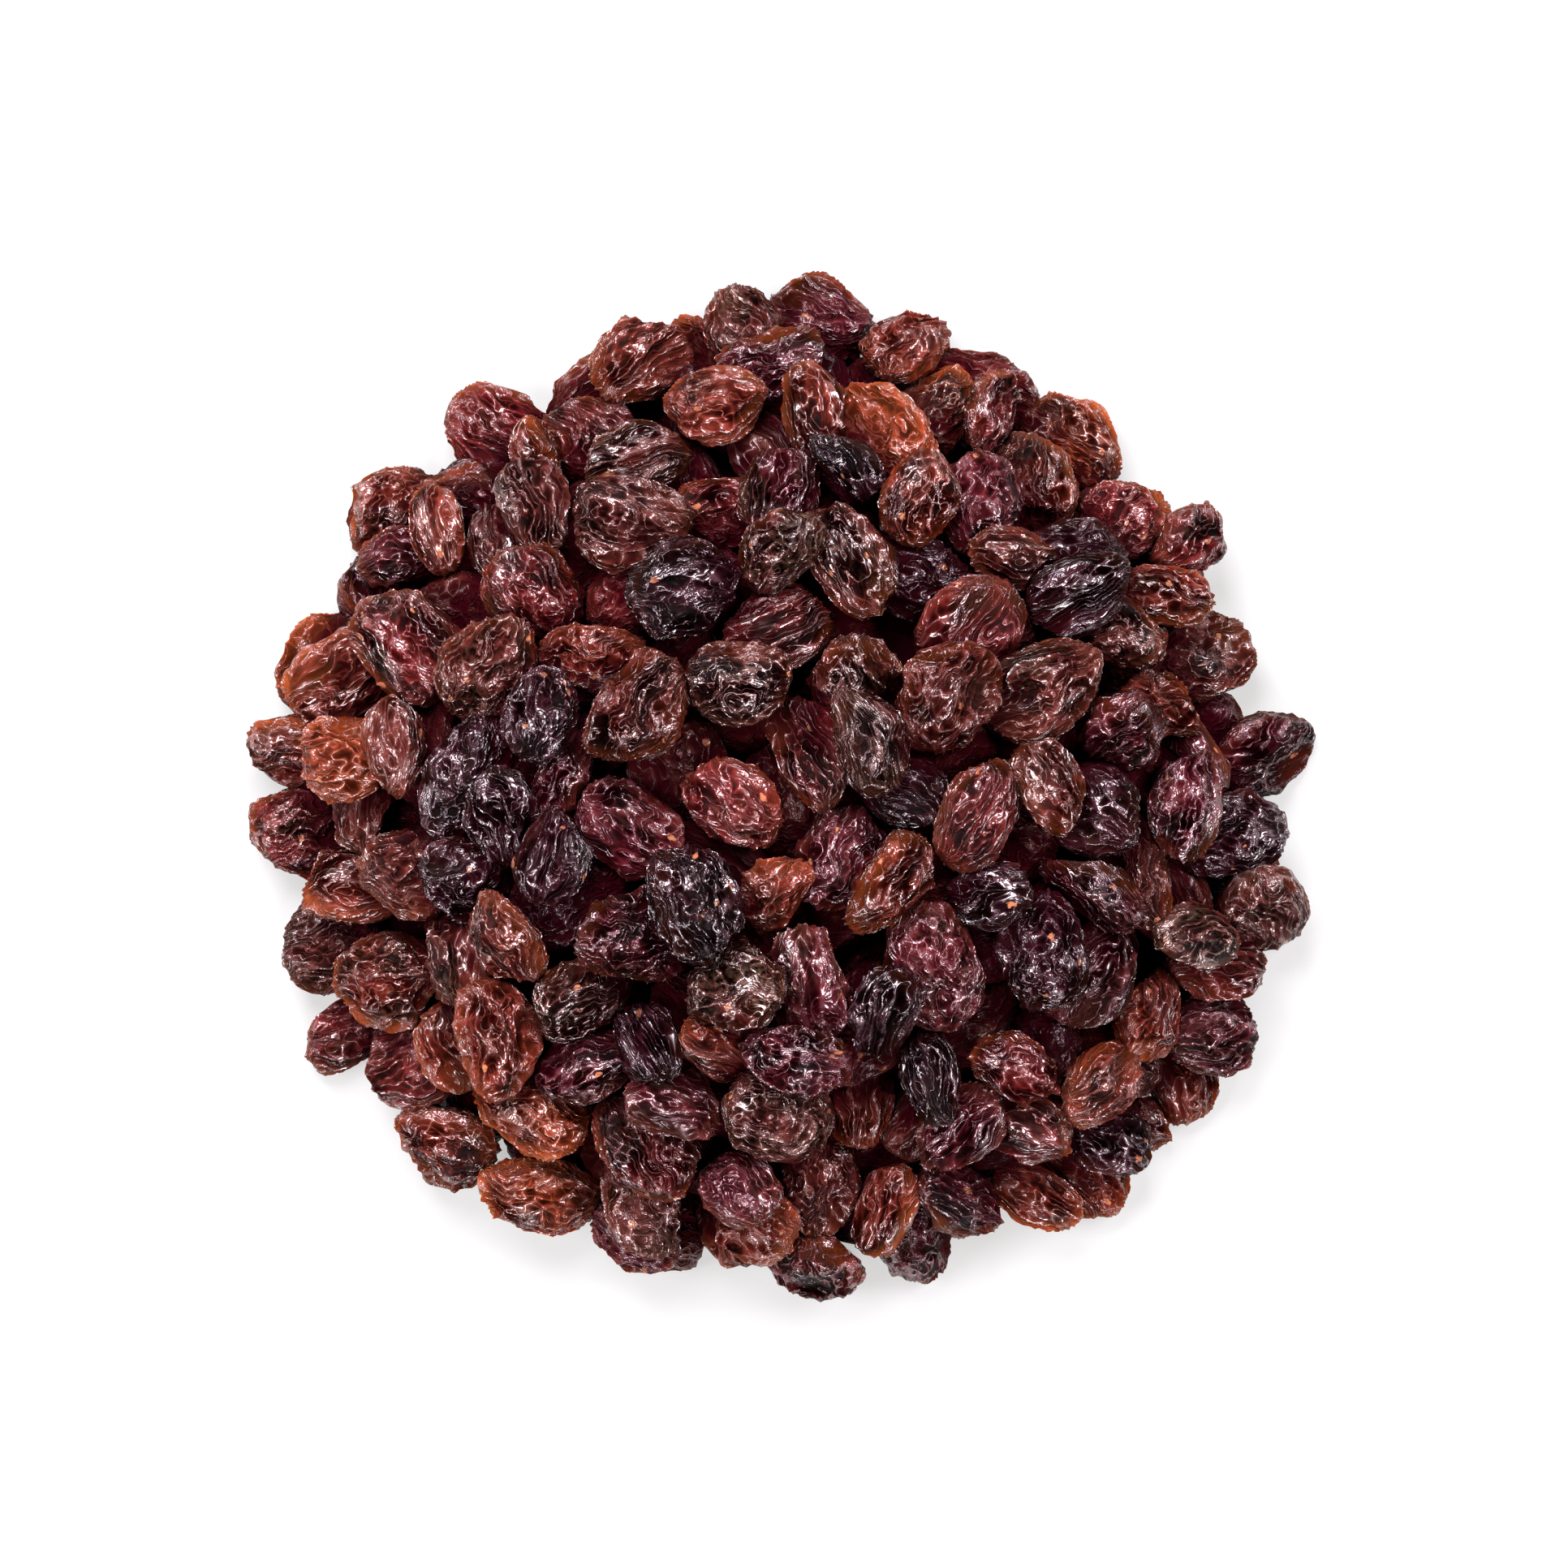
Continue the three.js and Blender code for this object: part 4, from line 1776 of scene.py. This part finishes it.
@dataclass(frozen=True)
class Studio:
    """A pale floor, soft light and a camera that looks straight down, in metres.

    Attributes:
        photo_width: Width of floor that the photograph takes in.
        camera_height: How high the camera hangs.
        heap_left: How far the heap lies to the left of the photograph's middle.
        heap_down: How far it lies below that middle.
        floor_size: Side of the floor.
        softboxes: The main light beyond the heap, and the fills.
    """

    photo_width: float = 0.1783
    camera_height: float = 1.0
    heap_left: float = 0.00028
    heap_down: float = 0.00046
    floor_size: float = 12.0
    softboxes: tuple[Softbox, ...] = (
        Softbox("key", (-0.22, 0.56, 0.67), 0.6, 30.0),
        Softbox("left", (-0.62, -0.1, 0.64), 0.42, 12.8),
        Softbox("right", (0.6, 0.24, 0.64), 0.42, 13.6),
        Softbox("near", (0.15, -0.62, 0.6), 0.4, 9.9),
    )

    SENSOR = 36.0
    ROOM_COLOUR = (1.0, 0.8, 0.8, 1.0)
    ROOM_STRENGTH = 0.03
    FLOOR_COLOUR = (0.135, 0.14, 0.138, 1.0)
    FLOOR_GLOW_COLOUR = (1.0, 0.98, 0.96, 1.0)
    FLOOR_GLOW = 0.53

    def camera(self) -> None:
        """Sets up the camera over the heap, with its top towards +Y."""
        data = bpy.data.cameras.new("camera")
        data.sensor_width = self.SENSOR
        data.lens = data.sensor_width * self.camera_height / self.photo_width
        camera = bpy.data.objects.new("camera", data)
        camera.location = (self.heap_left, self.heap_down, self.camera_height)
        bpy.context.scene.collection.objects.link(camera)
        bpy.context.scene.camera = camera

    def lights(self) -> None:
        """Hangs the soft lights, and lights the room softly."""
        for softbox in self.softboxes:
            softbox.hang()
        world = bpy.data.worlds.new("room")
        bpy.context.scene.world = world
        world.use_nodes = True
        room = world.node_tree.nodes["Background"]
        room.inputs["Color"].default_value = self.ROOM_COLOUR
        room.inputs["Strength"].default_value = self.ROOM_STRENGTH

    def floor(self) -> bpy.types.Object:
        """Lays a white floor that glows a little, so that its shadows stay faint.

        Returns:
            The floor, linked to the scene.
        """
        half = self.floor_size / 2
        corners = np.array([(-half, -half, 0), (half, -half, 0), (half, half, 0), (-half, half, 0)])
        mesh = mesh_of("floor", corners, np.array([[0, 1, 2, 3]]))
        material = bpy.data.materials.new("floor")
        material.use_nodes = True
        surface = material.node_tree.nodes["Principled BSDF"]
        surface.inputs["Base Color"].default_value = self.FLOOR_COLOUR
        surface.inputs["Roughness"].default_value = 1.0
        surface.inputs["Specular IOR Level"].default_value = 0.0
        surface.inputs["Emission Color"].default_value = self.FLOOR_GLOW_COLOUR
        surface.inputs["Emission Strength"].default_value = self.FLOOR_GLOW
        mesh.materials.append(material)
        floor = bpy.data.objects.new("floor", mesh)
        bpy.context.scene.collection.objects.link(floor)
        return floor


def corners() -> list[list[float]]:
    """The lowest and highest corner of what shows, as plain lists."""
    return [list(corner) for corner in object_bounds()]


def settle_piece(piece: bpy.types.Object) -> None:
    """Ties a finished piece to the model and reports it.

    Args:
        piece: The piece, as a plain mesh at the origin.
    """
    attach(piece, BODY)
    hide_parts(NODE)
    triangles = sum(len(face.vertices) - 2 for face in piece.data.polygons)
    log.info("%s: %d triangles", piece.name, triangles)


def main() -> None:
    """Builds the heap and its studio."""
    logging.basicConfig(level=logging.INFO, format="%(name)s %(message)s")
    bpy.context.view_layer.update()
    studio = Studio()
    studio.camera()
    studio.lights()
    bpy.context.scene.view_settings.view_transform = "Standard"

    mound = Mound()
    grapes = Tipping().heaped(mound)
    log.info("%d sultanas lie in the heap", len(grapes))
    gaps = Gaps(grapes)
    forms = FormDrawer(FORM_COUNT)
    tree = CrinkleTree()
    for kind, points in Skins().dress(grapes, forms).items():
        skin = kind.finish.material(kind.value + "_skin")
        piece = tree.crinkled(kind.value, points, forms, skin)
        gaps.store_on(piece.data)
        settle_piece(piece)
    forms.clear()

    core = Core().build(mound)
    core.data.materials.append(Core.skin())
    settle_piece(core)

    studio.floor()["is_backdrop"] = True


if __name__ == "__main__":
    main()
